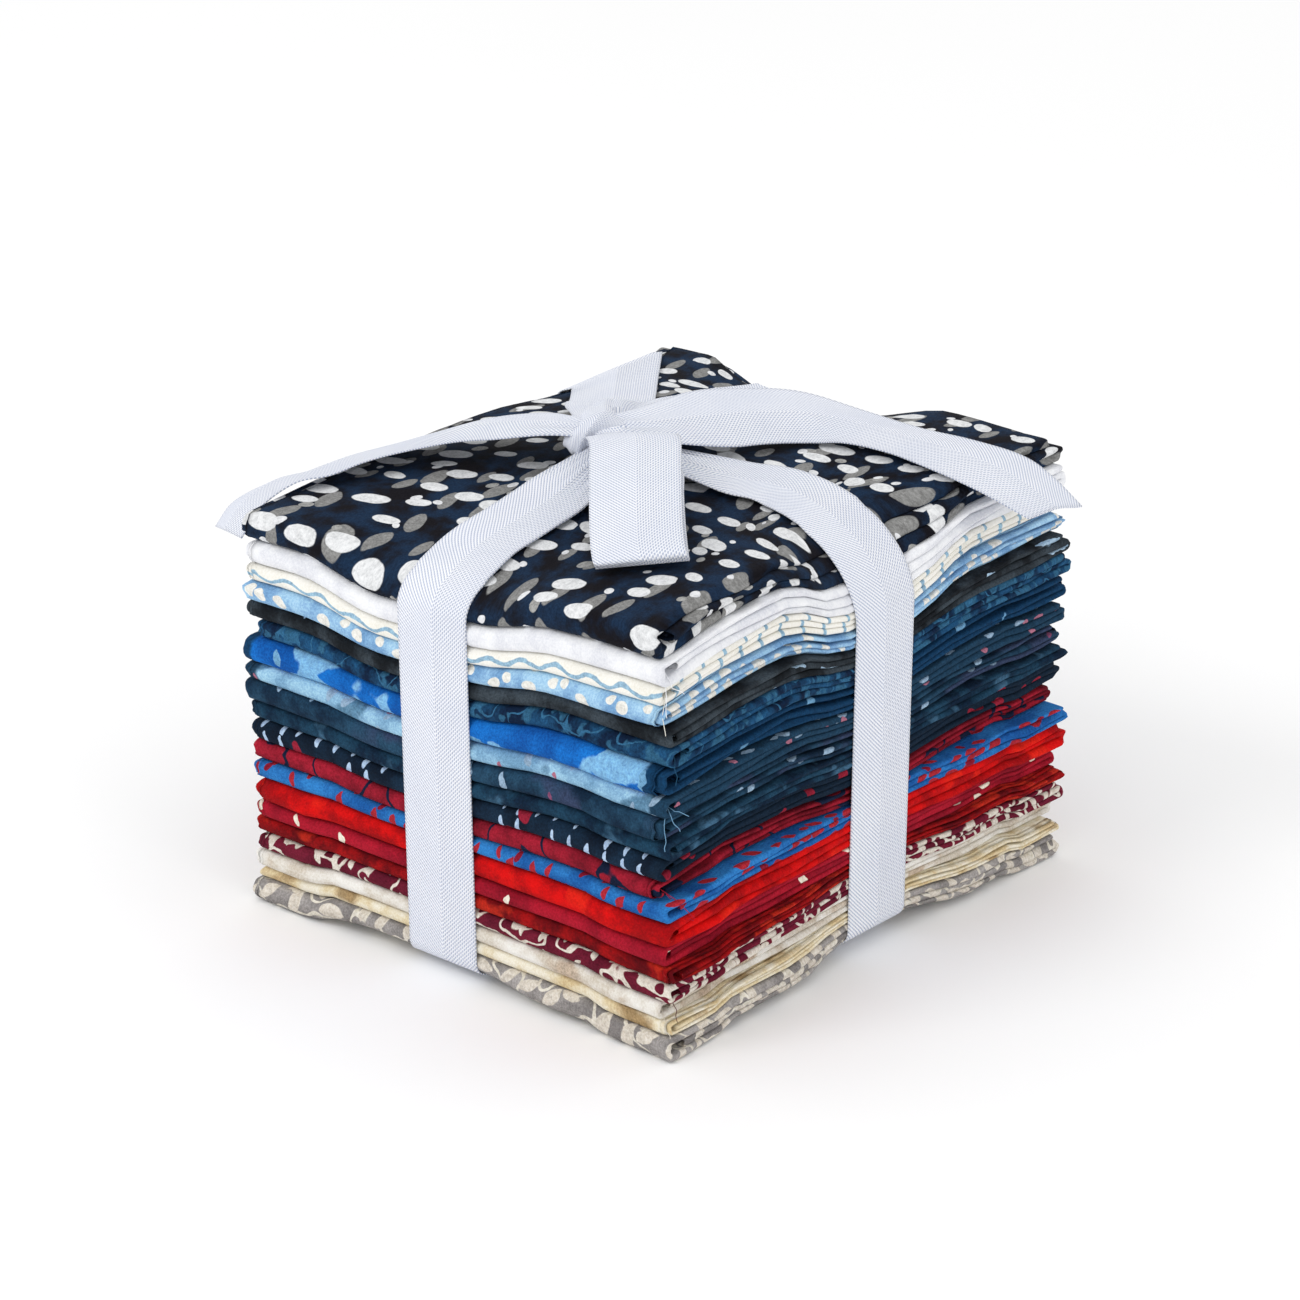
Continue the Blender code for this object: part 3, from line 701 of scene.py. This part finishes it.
def free_rows(stations, across_list):
    """Rows across a free end, its width turned as the list of directions says."""
    points = curve_through([vector(station) for station in stations], TAIL_STEPS)
    turns = curve_through([Vector(turn).normalized() for turn in across_list], TAIL_STEPS)
    rows = []
    for index, (point, turn) in enumerate(zip(points, turns)):
        before, after = around(points, index)
        turn = turn.normalized()
        up = turn.cross((after - before).normalized()).normalized()
        if up.z < 0:
            up = -up
        opened = smooth(0, TAIL_OPENS, index / (len(points) - 1))
        width = RIBBON_WIDTH * (TAIL_START + (1 - TAIL_START) * opened)
        row = []
        for share in SHARES:
            curl = TAIL_CURL * math.cos(2 * math.pi * (share - 0.5)) * opened
            row.append(point + turn * width * (share - 0.5)
                       + up * (pleat(share, width) * (0.45 - 0.25 * opened) + curl))
        rows.append(row)
    return rows


def loop_rows():
    """Rows along the flattened loop that falls forward from the knot."""
    out = [vector(station) for station in LOOP_OUT]
    home = [vector(station) for station in LOOP_BACK]
    tip = (out[-1] + home[0]) / 2 + (out[-1] - out[-2]).normalized() * LOOP_END
    points = curve_through(out + [tip] + home, LOOP_STEPS)
    rows = []
    for index, point in enumerate(points):
        part = index / (len(points) - 1)
        gather = 1 - 0.4 * smooth(0.88, 1, part) - 0.5 * (1 - smooth(0.02, 0.16, part))
        width = RIBBON_WIDTH * gather
        arch = LOOP_ARCH * (1 - smooth(0.1, 0.5, part))
        tilt = LOOP_TILT * (1 - abs(2 * part - 1))
        across = Vector((math.cos(LOOP_TURN), math.sin(LOOP_TURN), tilt)).normalized()
        row = []
        for share in SHARES:
            crown = arch * math.cos(math.pi * (share - 0.5))
            aside = width * (share - 0.5) + LOOP_SHIFT * smooth(0.45, 0.6, part)
            row.append(point + across * aside + Vector((0, 0, crown)))
        rows.append(row)
    return rows


# The left strand runs on over the knot and down its front: places, and widths in millimetres.
WRAP = ((-18, -4, 139.8), (-13, -9.8, 142.3), (-9, -14.6, 144.2),
        (-8, -19.5, 144.2), (-9.2, -23.5, 141.0), (-10.6, -24, 137.0),
        (-10, -19.5, 134.5))
WRAP_WIDTHS_MM = (18.8, 18.4, 17, 13.5, 10, 8, 8)
WRAP_STEPS = 8
WRAP_CROWN = -0.22
WRAP_TURNS = (0, 0.4)


def wrap_rows(last_row):
    """Rows over the knot: a gathered turn of the ribbon, over from the left strand's last row."""
    points = curve_through([vector(station) for station in WRAP], WRAP_STEPS)
    widths = curve_through([Vector((wide, 0, 0)) for wide in WRAP_WIDTHS_MM], WRAP_STEPS)
    first_way = (last_row[-1] - last_row[0]).normalized()
    first_way.z = 0
    last_way = Vector((math.cos(LOOP_TURN), math.sin(LOOP_TURN), 0))
    if first_way.dot(last_way) < 0:
        last_way = -last_way
    rows = []
    for index, point in enumerate(points):
        before, after = around(points, index)
        part = index / (len(points) - 1)
        turned = smooth(*WRAP_TURNS, part)
        sideways = first_way.lerp(last_way, turned).normalized()
        out = sideways.cross((after - before).normalized()).normalized()
        if out.dot(point - vector(KNOT_AT)) < 0:
            out = -out
        width = widths[index].x * MM
        row = []
        for share in SHARES:
            crown = WRAP_CROWN * width * (2 * share - 1) ** 2 * turned
            height = gather_height("left", share, width) * (1 - 0.5 * smooth(0.1, 0.5, part))
            row.append(point + sideways * width * (share - 0.5) + out * (crown + height))
        rows.append(row)
    return rows[1:]


def build_lump():
    """The tape inside the knot, which fills it out from within."""
    lump = bmesh.new()
    bmesh.ops.create_uvsphere(lump, u_segments=32, v_segments=20, radius=1)
    turn = Matrix.Rotation(LOOP_TURN, 4, "Z")
    shape = Matrix.Translation(vector(KNOT_AT)) @ turn @ Matrix.Diagonal((*KNOT_RADII, 1))
    flat = lump.loops.layers.uv.new("Flat")
    for face in lump.faces:
        face.smooth = True
        for loop in face.loops:
            loop[flat].uv = (loop.vert.co.x * 13.0, loop.vert.co.z * 8.0)
    bmesh.ops.transform(lump, matrix=shape, verts=lump.verts)
    return show_mesh("knot_core", lump)


def build_strip(name, rows, start_mm):
    """One strip of tape from its rows, with its places along and across the ribbon."""
    lengths = [start_mm]
    middle = ACROSS // 2
    wide_mm = RIBBON_WIDTH / MM
    for before, after in zip(rows, rows[1:]):
        lengths.append(lengths[-1] + (after[middle] - before[middle]).length / MM)
    item = grid_sheet(name, len(rows), ACROSS + 1, lambda row, column: rows[row][column],
                      lambda row, column: (lengths[row], wide_mm * (SHARES[column] - 0.5)))
    thicken(item, TAPE)
    return item


def build_ribbon():
    """The two bands, the turn over the knot, the loop, both ends and the knot's inside."""
    band_across = band_rows("right", "left", TAPE * 1.6)
    strips = (
        build_strip("band_front", band_rows("front", "back", TAPE / 2), 0),
        build_strip("band_across", band_across + wrap_rows(band_across[-1]), 40.0),
        build_strip("front_loop", loop_rows(), 10.0),
        build_strip("left_tail", free_rows(LEFT_TAIL, LEFT_TAIL_ACROSS), 20.0),
        build_strip("right_tail", free_rows(RIGHT_TAIL, RIGHT_TAIL_ACROSS), 5.0),
        build_lump(),
    )
    return join(strips, "ribbon_tied")


class Paint:
    """Short calls that add shader nodes to one new material."""

    def __init__(self, name, roughness, specular):
        self.material = bpy.data.materials.new(name)
        self.material.use_nodes = True
        self.tree = self.material.node_tree
        self.shader = self.tree.nodes["Principled BSDF"]
        self.shader.inputs["Roughness"].default_value = roughness
        self.shader.inputs["Specular IOR Level"].default_value = specular
        self.flat = self.node("ShaderNodeUVMap", uv_map="Flat").outputs["UV"]

    def node(self, kind, **settings):
        made = self.tree.nodes.new(kind)
        for key, value in settings.items():
            setattr(made, key, value)
        return made

    def feed(self, socket, value):
        if isinstance(value, bpy.types.NodeSocket):
            self.tree.links.new(value, socket)
        else:
            socket.default_value = value

    def math(self, operation, *values):
        made = self.node("ShaderNodeMath", operation=operation)
        for socket, value in zip(made.inputs, values):
            self.feed(socket, value)
        return made.outputs[0]

    def vector(self, operation, first, second=None, scale=None):
        made = self.node("ShaderNodeVectorMath", operation=operation)
        self.feed(made.inputs[0], first)
        if second is not None:
            self.feed(made.inputs[1], second)
        if scale is not None:
            self.feed(made.inputs["Scale"], scale)
        return made.outputs[0]

    def ripple(self, value, length):
        """A sine wave of that length along a measure."""
        return self.math("SINE", self.math("MULTIPLY", value, 2 * math.pi / length))

    def raise_by(self, height, strength, distance):
        """Let the surface follow a height."""
        bump = self.node("ShaderNodeBump")
        bump.inputs["Strength"].default_value = strength
        bump.inputs["Distance"].default_value = distance
        self.feed(bump.inputs["Height"], height)
        self.feed(self.shader.inputs["Normal"], bump.outputs["Normal"])

    def split(self, value):
        made = self.node("ShaderNodeSeparateXYZ")
        self.feed(made.inputs[0], value)
        return made.outputs

    def noise(self, where, size_mm, detail=2.0, roughness=0.5, offset=0.0):
        moved = self.vector("ADD", where, (offset, offset * 0.7, 0.0))
        made = self.node("ShaderNodeTexNoise", noise_dimensions="2D")
        self.feed(made.inputs["Vector"], moved)
        made.inputs["Scale"].default_value = 1.0 / size_mm
        made.inputs["Detail"].default_value = detail
        made.inputs["Roughness"].default_value = roughness
        return made.outputs["Fac"], made.outputs["Color"]

    def step(self, value, low, high):
        """0 below low, 1 above high, smooth between, or the other way round."""
        made = self.node("ShaderNodeMapRange", interpolation_type="SMOOTHSTEP")
        self.feed(made.inputs["Value"], value)
        rising = low < high
        made.inputs["From Min"].default_value = low if rising else high
        made.inputs["From Max"].default_value = high if rising else low
        made.inputs["To Min"].default_value = 0.0 if rising else 1.0
        made.inputs["To Max"].default_value = 1.0 if rising else 0.0
        return made.outputs["Result"]

    def mix(self, factor, first, second):
        made = self.node("ShaderNodeMix", data_type="RGBA")
        self.feed(made.inputs["Factor"], factor)
        for socket, value in ((made.inputs[6], first), (made.inputs[7], second)):
            self.feed(socket, (*value, 1.0) if isinstance(value, tuple) else value)
        return made.outputs[2]

    def wobble(self, where, size_mm, reach_mm, offset):
        """The same places, pushed about by noise, so that edges come out hand drawn."""
        colour = self.noise(where, size_mm, offset=offset)[1]
        centred = self.vector("SUBTRACT", colour, (0.5, 0.5, 0.5))
        return self.vector("ADD", where, self.vector("SCALE", centred, scale=reach_mm * 2.0))


# Shapes scattered one to a cell: lengths in millimetres, turns in degrees, share from 0 to 1.
# loose is how far from a regular grid they lie, from 0 to 1. end and side are powers: 2 and 2 make
# an oval, 2 and 1 a leaf, 3 and 2 a dash.
Scatter = namedtuple("Scatter", "colour cell long wide turn turn_by share loose end side")
# Patches where the noise of that size in millimetres is above a level from 0 to 1.
Blotch = namedtuple("Blotch", "colour size level soft")
# Lines that follow the level of a noise of that size, as scrolls do.
Vein = namedtuple("Vein", "colour size level wide")
# Wavy lines across the cloth: gap, length of a wave, reach and width in millimetres.
Wave = namedtuple("Wave", "colour gap length reach wide")
# Painted shade: a darker colour within that reach, in millimetres, of each lengthwise fold and raw
# edge, where the folds lie in shade.
FoldShade = namedtuple("FoldShade", "colour reach soft")

# light and dark make the ground, in patches of mottle millimetres; hand is how far the marks'
# edges stray, in millimetres.
Print = namedtuple("Print", "light dark mottle hand marks")
PRINTS = {
    "navy_spotted": Print((0.012, 0.034, 0.078), (0.008, 0.007, 0.011), 11, 0.35, (
        Scatter((0.30, 0.30, 0.295), 14.0, 5.0, 2.5, 95, 50, 0.80, 0.6, 2, 1.7),
        Scatter((0.40, 0.40, 0.39), 11.5, 1.9, 1.5, 20, 180, 0.25, 0.7, 2, 2),
        Scatter((0.76, 0.77, 0.78), 12.6, 4.5, 2.5, 0, 40, 0.86, 0.6, 2.1, 2.1),
        Scatter((0.74, 0.75, 0.77), 9.5, 1.6, 1.2, 0, 180, 0.26, 0.7, 2, 2))),
    "white_mottled": Print((0.84, 0.85, 0.875), (0.70, 0.71, 0.755), 12, 1.1, ()),
    "cream_wavy": Print((0.86, 0.84, 0.78), (0.78, 0.76, 0.69), 22, 0.7, (
        Wave((0.36, 0.52, 0.64), 8.75, 12.5, 0.9, 0.65),)),
    "sky_dotted": Print((0.40, 0.58, 0.76), (0.20, 0.36, 0.55), 16, 0.6, (
        Scatter((0.82, 0.81, 0.76), 7.0, 2.0, 1.6, 0, 90, 0.85, 0.55, 2, 2),)),
    "charcoal": Print((0.060, 0.078, 0.095), (0.010, 0.013, 0.017), 12, 1.1, (
        Scatter((0.42, 0.55, 0.68), 17, 5.0, 0.7, 90, 30, 0.6, 0.7, 4, 2),)),
    "deep_blue": Print((0.018, 0.100, 0.215), (0.004, 0.018, 0.055), 8, 1.1, (
        Blotch((0.040, 0.150, 0.260), 6, 0.60, 0.03),
        Vein((0.045, 0.17, 0.30), 13, 0.5, 0.012))),
    "bright_blue": Print((0.012, 0.200, 0.560), (0.006, 0.110, 0.380), 18, 1.1, (
        Blotch((0.26, 0.50, 0.74), 22, 0.54, 0.012),
        # Painted shade along the folds and raw edges
        FoldShade((0.008, 0.062, 0.150), 4.0, 1.5),
        Scatter((0.20, 0.40, 0.58), 17, 3.0, 1.4, 60, 90, 0.4, 0.7, 2, 1.2))),
    "pale_blue": Print((0.36, 0.55, 0.70), (0.20, 0.36, 0.50), 14, 1.1, (
        Blotch((0.14, 0.28, 0.40), 20, 0.60, 0.03),
        # Painted shade along the folds and raw edges
        FoldShade((0.018, 0.066, 0.125), 4.0, 1.5),
        Scatter((0.34, 0.46, 0.58), 8, 2.2, 0.9, 70, 60, 0.5, 0.7, 2, 1.4),
        Scatter((0.46, 0.20, 0.28), 10, 1.8, 0.9, 70, 60, 0.35, 0.7, 2, 1.4))),
    "slate_blue": Print((0.026, 0.085, 0.150), (0.006, 0.024, 0.055), 13, 1.1, (
        Blotch((0.050, 0.075, 0.150), 24, 0.62, 0.06),
        Scatter((0.34, 0.46, 0.58), 15, 2.2, 0.9, 70, 40, 0.5, 0.7, 2, 1.6),
        Scatter((0.30, 0.10, 0.20), 12, 1.6, 0.8, 70, 60, 0.3, 0.7, 2, 1.4))),
    "dark_teal": Print((0.016, 0.066, 0.120), (0.004, 0.018, 0.045), 10, 1.1, (
        Blotch((0.07, 0.17, 0.27), 12, 0.64, 0.05),)),
    "navy_dashed": Print((0.010, 0.032, 0.066), (0.004, 0.012, 0.028), 12, 0.6, (
        Scatter((0.46, 0.58, 0.76), 6.4, 2.9, 0.75, 84, 16, 0.82, 0.2, 3, 2),
        # Painted shade along the folds and raw edges
        FoldShade((0.008, 0.024, 0.050), 2.4, 1.0),
        Scatter((0.34, 0.02, 0.05), 12, 2.8, 1.8, 0, 180, 0.55, 0.7, 2, 2))),
    "crimson": Print((0.38, 0.016, 0.040), (0.17, 0.006, 0.018), 16, 1.1, (
        Vein((0.008, 0.016, 0.050), 22, 0.52, 0.018),
        Scatter((0.010, 0.020, 0.060), 15, 4.4, 2.0, 30, 180, 0.7, 0.7, 2, 1.2))),
    "mid_blue": Print((0.040, 0.240, 0.530), (0.014, 0.120, 0.360), 16, 0.8, (
        Scatter((0.46, 0.030, 0.050), 6.6, 2.7, 1.0, 80, 40, 0.80, 0.5, 2, 1.3),
        Scatter((0.30, 0.012, 0.040), 8.5, 1.5, 0.8, 60, 60, 0.5, 0.7, 2, 1.6))),
    "bright_red": Print((0.66, 0.006, 0.006), (0.36, 0.003, 0.006), 12, 1.1, (
        Blotch((0.74, 0.022, 0.010), 17, 0.62, 0.05),)),
    "crimson_dabs": Print((0.42, 0.012, 0.035), (0.26, 0.006, 0.022), 18, 1.1, (
        Scatter((0.84, 0.78, 0.66), 14, 2.0, 1.1, 90, 40, 0.62, 0.7, 2, 1.5),)),
    "dark_red": Print((0.36, 0.006, 0.008), (0.13, 0.002, 0.006), 10, 1.1, (
        Blotch((0.50, 0.030, 0.014), 11, 0.62, 0.05),)),
    "maroon_scrolled": Print((0.20, 0.016, 0.042), (0.13, 0.009, 0.028), 16, 0.8, (
        Vein((0.72, 0.67, 0.60), 10, 0.5, 0.030),
        Scatter((0.72, 0.67, 0.60), 6.5, 2.0, 0.9, 0, 360, 0.72, 0.6, 2, 1.2))),
    "cream_mottled": Print((0.80, 0.78, 0.73), (0.60, 0.55, 0.48), 14, 1.1, (
        Blotch((0.56, 0.47, 0.38), 15, 0.63, 0.07),)),
    "butter_cream": Print((0.80, 0.75, 0.63), (0.62, 0.51, 0.33), 12, 1.1, (
        Blotch((0.42, 0.31, 0.17), 18, 0.64, 0.06),)),
    "grey_beige": Print((0.40, 0.38, 0.37), (0.25, 0.235, 0.23), 14, 0.6, (
        Vein((0.74, 0.70, 0.62), 12, 0.5, 0.026),
        Scatter((0.70, 0.65, 0.58), 8.2, 4.2, 1.7, 40, 100, 0.95, 0.5, 2, 1.2))),
}


def scatter_mask(paint, where, mark, seed):
    """1 inside shapes scattered one to a cell, each turned and sized by chance."""
    moved = paint.vector("ADD", where, (seed * 31.7, seed * 17.3, 0.0))
    cells = paint.node("ShaderNodeTexVoronoi", voronoi_dimensions="2D", feature="F1")
    paint.feed(cells.inputs["Vector"], moved)
    cells.inputs["Scale"].default_value = 1.0 / mark.cell
    cells.inputs["Randomness"].default_value = mark.loose
    local = paint.vector("SUBTRACT", moved, cells.outputs["Position"])
    chance = paint.split(cells.outputs["Color"])
    angle = paint.math("MULTIPLY_ADD", chance[0], math.radians(mark.turn_by),
                       math.radians(mark.turn - mark.turn_by / 2))
    turned = paint.node("ShaderNodeVectorRotate", rotation_type="Z_AXIS")
    paint.feed(turned.inputs["Vector"], local)
    paint.feed(turned.inputs["Angle"], angle)
    x, y, _ = paint.split(turned.outputs[0])
    size = paint.math("MULTIPLY_ADD", chance[1], 0.5, 0.75)

    def part(value, half, power):
        scaled = paint.math("DIVIDE", value, paint.math("MULTIPLY", size, half))
        return paint.math("POWER", paint.math("ABSOLUTE", scaled), power)

    reached = paint.math("ADD", part(x, mark.long, mark.end), part(y, mark.wide, mark.side))
    inside = paint.step(reached, 1.12, 0.92)
    present = paint.math("LESS_THAN", chance[2], mark.share)
    return paint.math("MULTIPLY", inside, present)


def mark_mask(paint, where, mark, seed):
    """1 inside the marks of one kind, 0 outside."""
    if isinstance(mark, Scatter):
        return scatter_mask(paint, where, mark, seed)
    if isinstance(mark, Blotch):
        level = paint.noise(where, mark.size, detail=2.0, offset=seed * 43.0)[0]
        return paint.step(level, mark.level - mark.soft, mark.level + mark.soft)
    if isinstance(mark, Vein):
        level = paint.noise(where, mark.size, detail=1.0, offset=seed * 57.0)[0]
        off = paint.math("ABSOLUTE", paint.math("SUBTRACT", level, mark.level))
        return paint.step(off, mark.wide * 1.25, mark.wide * 0.85)
    x, y, _ = paint.split(where)
    # Painted shade: darker near each lengthwise fold and raw edge of the flat cloth
    if isinstance(mark, FoldShade):
        third = FLAT_CUT[0] / MM / 3
        return paint.step(paint.math("PINGPONG", x, third / 2), mark.reach + mark.soft, mark.reach)
    swing = paint.ripple(x, mark.length)
    line = paint.math("MULTIPLY_ADD", swing, mark.reach, y)
    off = paint.math("PINGPONG", line, mark.gap / 2)
    return paint.step(off, mark.wide * 1.2, mark.wide * 0.8)


WEAVE_MM = 0.52


def cloth_material(name, design, seed):
    """Plain-weave cotton with a dyed, mottled ground, its printed marks and, for some cuts, painted
    shade along the folds and raw edges.
    """
    paint = Paint("print_" + name, 0.92, 0.12)
    broad = paint.noise(paint.flat, design.mottle, detail=3.0, roughness=0.6, offset=seed * 11.0)[0]
    colour = paint.mix(paint.step(broad, 0.32, 0.68), design.dark, design.light)
    edges = paint.wobble(paint.flat, 5.0, design.hand, seed * 3.1)
    for index, mark in enumerate(design.marks):
        # Each mark is printed colour, except the fold marks, which are painted shade
        mask = mark_mask(paint, edges, mark, seed + index * 0.37 + 1.0)
        tone = paint.noise(paint.flat, 2.2, detail=4.0, roughness=0.7, offset=seed + index)[0]
        toned_mark_colour = paint.mix(paint.step(tone, 0.3, 0.7), tuple(part * 0.78 for part in mark.colour),
                         mark.colour)
        colour = paint.mix(mask, colour, toned_mark_colour)
    fine = paint.noise(paint.flat, 0.7, detail=3.0, roughness=0.8, offset=seed * 2.0)[0]
    grey = paint.mix(paint.step(fine, 0.25, 0.75), (0.0, 0.0, 0.0), (1.0, 1.0, 1.0))
    worn = paint.mix(0.45, colour, grey)
    shade = paint.node("ShaderNodeMix", data_type="RGBA", blend_type="OVERLAY")
    shade.inputs["Factor"].default_value = 0.55
    paint.feed(shade.inputs[6], colour)
    paint.feed(shade.inputs[7], worn)
    paint.feed(paint.shader.inputs["Base Color"], shade.outputs[2])
    x, y, _ = paint.split(paint.flat)
    weave = paint.math("MULTIPLY", paint.ripple(x, WEAVE_MM), paint.ripple(y, WEAVE_MM))
    crumple = paint.noise(paint.flat, 7.0, detail=3.0, roughness=0.6, offset=seed)[0]
    height = paint.math("ADD", paint.math("MULTIPLY", weave, 0.04),
                        paint.math("ADD", paint.math("MULTIPLY", crumple, 0.75),
                                   paint.math("MULTIPLY", fine, 0.10)))
    paint.raise_by(height, 0.7, 1.0 * MM)
    return paint.material


RIB_MM = 1.2
TAPE_THREAD_MM = 0.72


def ribbon_material():
    """White tape woven in a herringbone: ribs slope one way on one half and back on the other, with
    painted bluish shade in the grooves between the ribs.
    """
    paint = Paint("herringbone_tape", 0.72, 0.2)
    along, across, _ = paint.split(paint.flat)
    slope = paint.math("ADD", along, paint.math("ABSOLUTE", across))
    other = paint.math("GREATER_THAN", across, 0.0)
    dots = paint.math("MULTIPLY", paint.ripple(across, TAPE_THREAD_MM),
                      paint.math("MULTIPLY_ADD", other, 0.6, 0.25))
    raised = paint.math("ADD", paint.ripple(slope, RIB_MM), dots)
    hairs = paint.noise(paint.flat, 0.7, detail=2.0)[0]
    tone = paint.step(raised, -1.3, 0.4)
    cloud = paint.noise(paint.flat, 18.0, detail=2.0)[0]
    white = paint.mix(paint.step(cloud, 0.3, 0.7), (0.86, 0.88, 0.94), (0.90, 0.915, 0.96))
    # The bluish grey between the ribs is painted shade in the grooves; tone is 1 on the ribs and 0
    # in the grooves.
    colour = paint.mix(tone, (0.42, 0.47, 0.61), white)
    paint.feed(paint.shader.inputs["Base Color"], colour)
    paint.raise_by(paint.math("MULTIPLY_ADD", hairs, 0.5, raised), 0.6, 0.16 * MM)
    return paint.material


def floor_material():
    """Plain pale paint with a faint cloudiness."""
    paint = Paint("pale_floor", 0.95, 0.0)
    where = paint.node("ShaderNodeTexCoord").outputs["Object"]
    grain = paint.node("ShaderNodeTexNoise")
    paint.feed(grain.inputs["Vector"], where)
    grain.inputs["Scale"].default_value = 3.0
    colour = paint.mix(grain.outputs["Fac"], (0.955, 0.955, 0.955), (0.975, 0.975, 0.975))
    paint.feed(paint.shader.inputs["Base Color"], colour)
    return paint.material


FLOOR_REACH = 6.0
FLOOR_DROP = 0.1 * MM


def build_floor():
    """A plain floor, a hair under the part."""
    shell = bmesh.new()
    bmesh.ops.create_grid(shell, x_segments=1, y_segments=1, size=FLOOR_REACH)
    floor = show_mesh("floor", shell)
    floor.location.z = -FLOOR_DROP
    floor.data.materials.append(floor_material())


def area_light(name, place, size, power, aim):
    """A round soft light that faces the aim."""
    data = bpy.data.lights.new(name, "AREA")
    data.shape = "DISK"
    data.size = size
    data.energy = power
    item = show(name, data)
    item.location = place
    item.rotation_euler = (Vector(aim) - Vector(place)).to_track_quat("-Z", "Y").to_euler()


# The photograph's camera: its focal length and side in pixels, and where it stands
FOCAL_PX = 5214
PHOTO_PX = 1300
SENSOR_MM = 36.0
TARGET = (-0.0047, 0.0, 0.070)
AZIMUTH = math.radians(40.8)
ELEVATION = math.radians(23.1)
DISTANCE = 1.5
WORLD_LIGHT = 0.95


def build_studio():
    """White air, two soft lights and the camera."""
    scene = bpy.context.scene
    world = bpy.data.worlds.new("studio_air")
    world.use_nodes = True
    world.node_tree.nodes["Background"].inputs["Color"].default_value = (1.0, 1.0, 1.0, 1.0)
    world.node_tree.nodes["Background"].inputs["Strength"].default_value = WORLD_LIGHT
    scene.world = world
    scene.view_settings.view_transform = "Standard"
    aim = (0.0, 0.0, 0.07)
    area_light("key", (-0.35, -1.15, 1.25), 0.7, 6.2, aim)
    area_light("fill", (1.35, -0.15, 0.75), 0.9, 2.0, aim)
    camera_data = bpy.data.cameras.new("camera")
    camera_data.sensor_width = SENSOR_MM
    camera_data.lens = FOCAL_PX / PHOTO_PX * SENSOR_MM
    camera = show("camera", camera_data)
    back = Vector((math.sin(AZIMUTH) * math.cos(ELEVATION),
                   -math.cos(AZIMUTH) * math.cos(ELEVATION), math.sin(ELEVATION)))
    camera.location = Vector(TARGET) + back * DISTANCE
    camera.rotation_euler = (-back).to_track_quat("-Z", "Y").to_euler()
    scene.camera = camera


def main():
    """Floor and studio, the cuts from the top down, then the ribbon."""
    build_floor()
    build_studio()
    base = STACK_HEIGHT
    for number, cut in enumerate(CUTS, start=1):
        base -= cut.height_mm * MM
        item = build_cut(number, cut, base)
        item.data.materials.clear()
        item.data.materials.append(cloth_material(cut.name, PRINTS[cut.name], float(number)))
        node = "fat_quarter_%02d_%s" % (number, cut.name)
        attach(item, "root")
        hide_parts(node)
    ribbon = build_ribbon()
    ribbon.data.materials.clear()
    ribbon.data.materials.append(ribbon_material())
    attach(ribbon, "root")
    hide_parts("ribbon")


main()
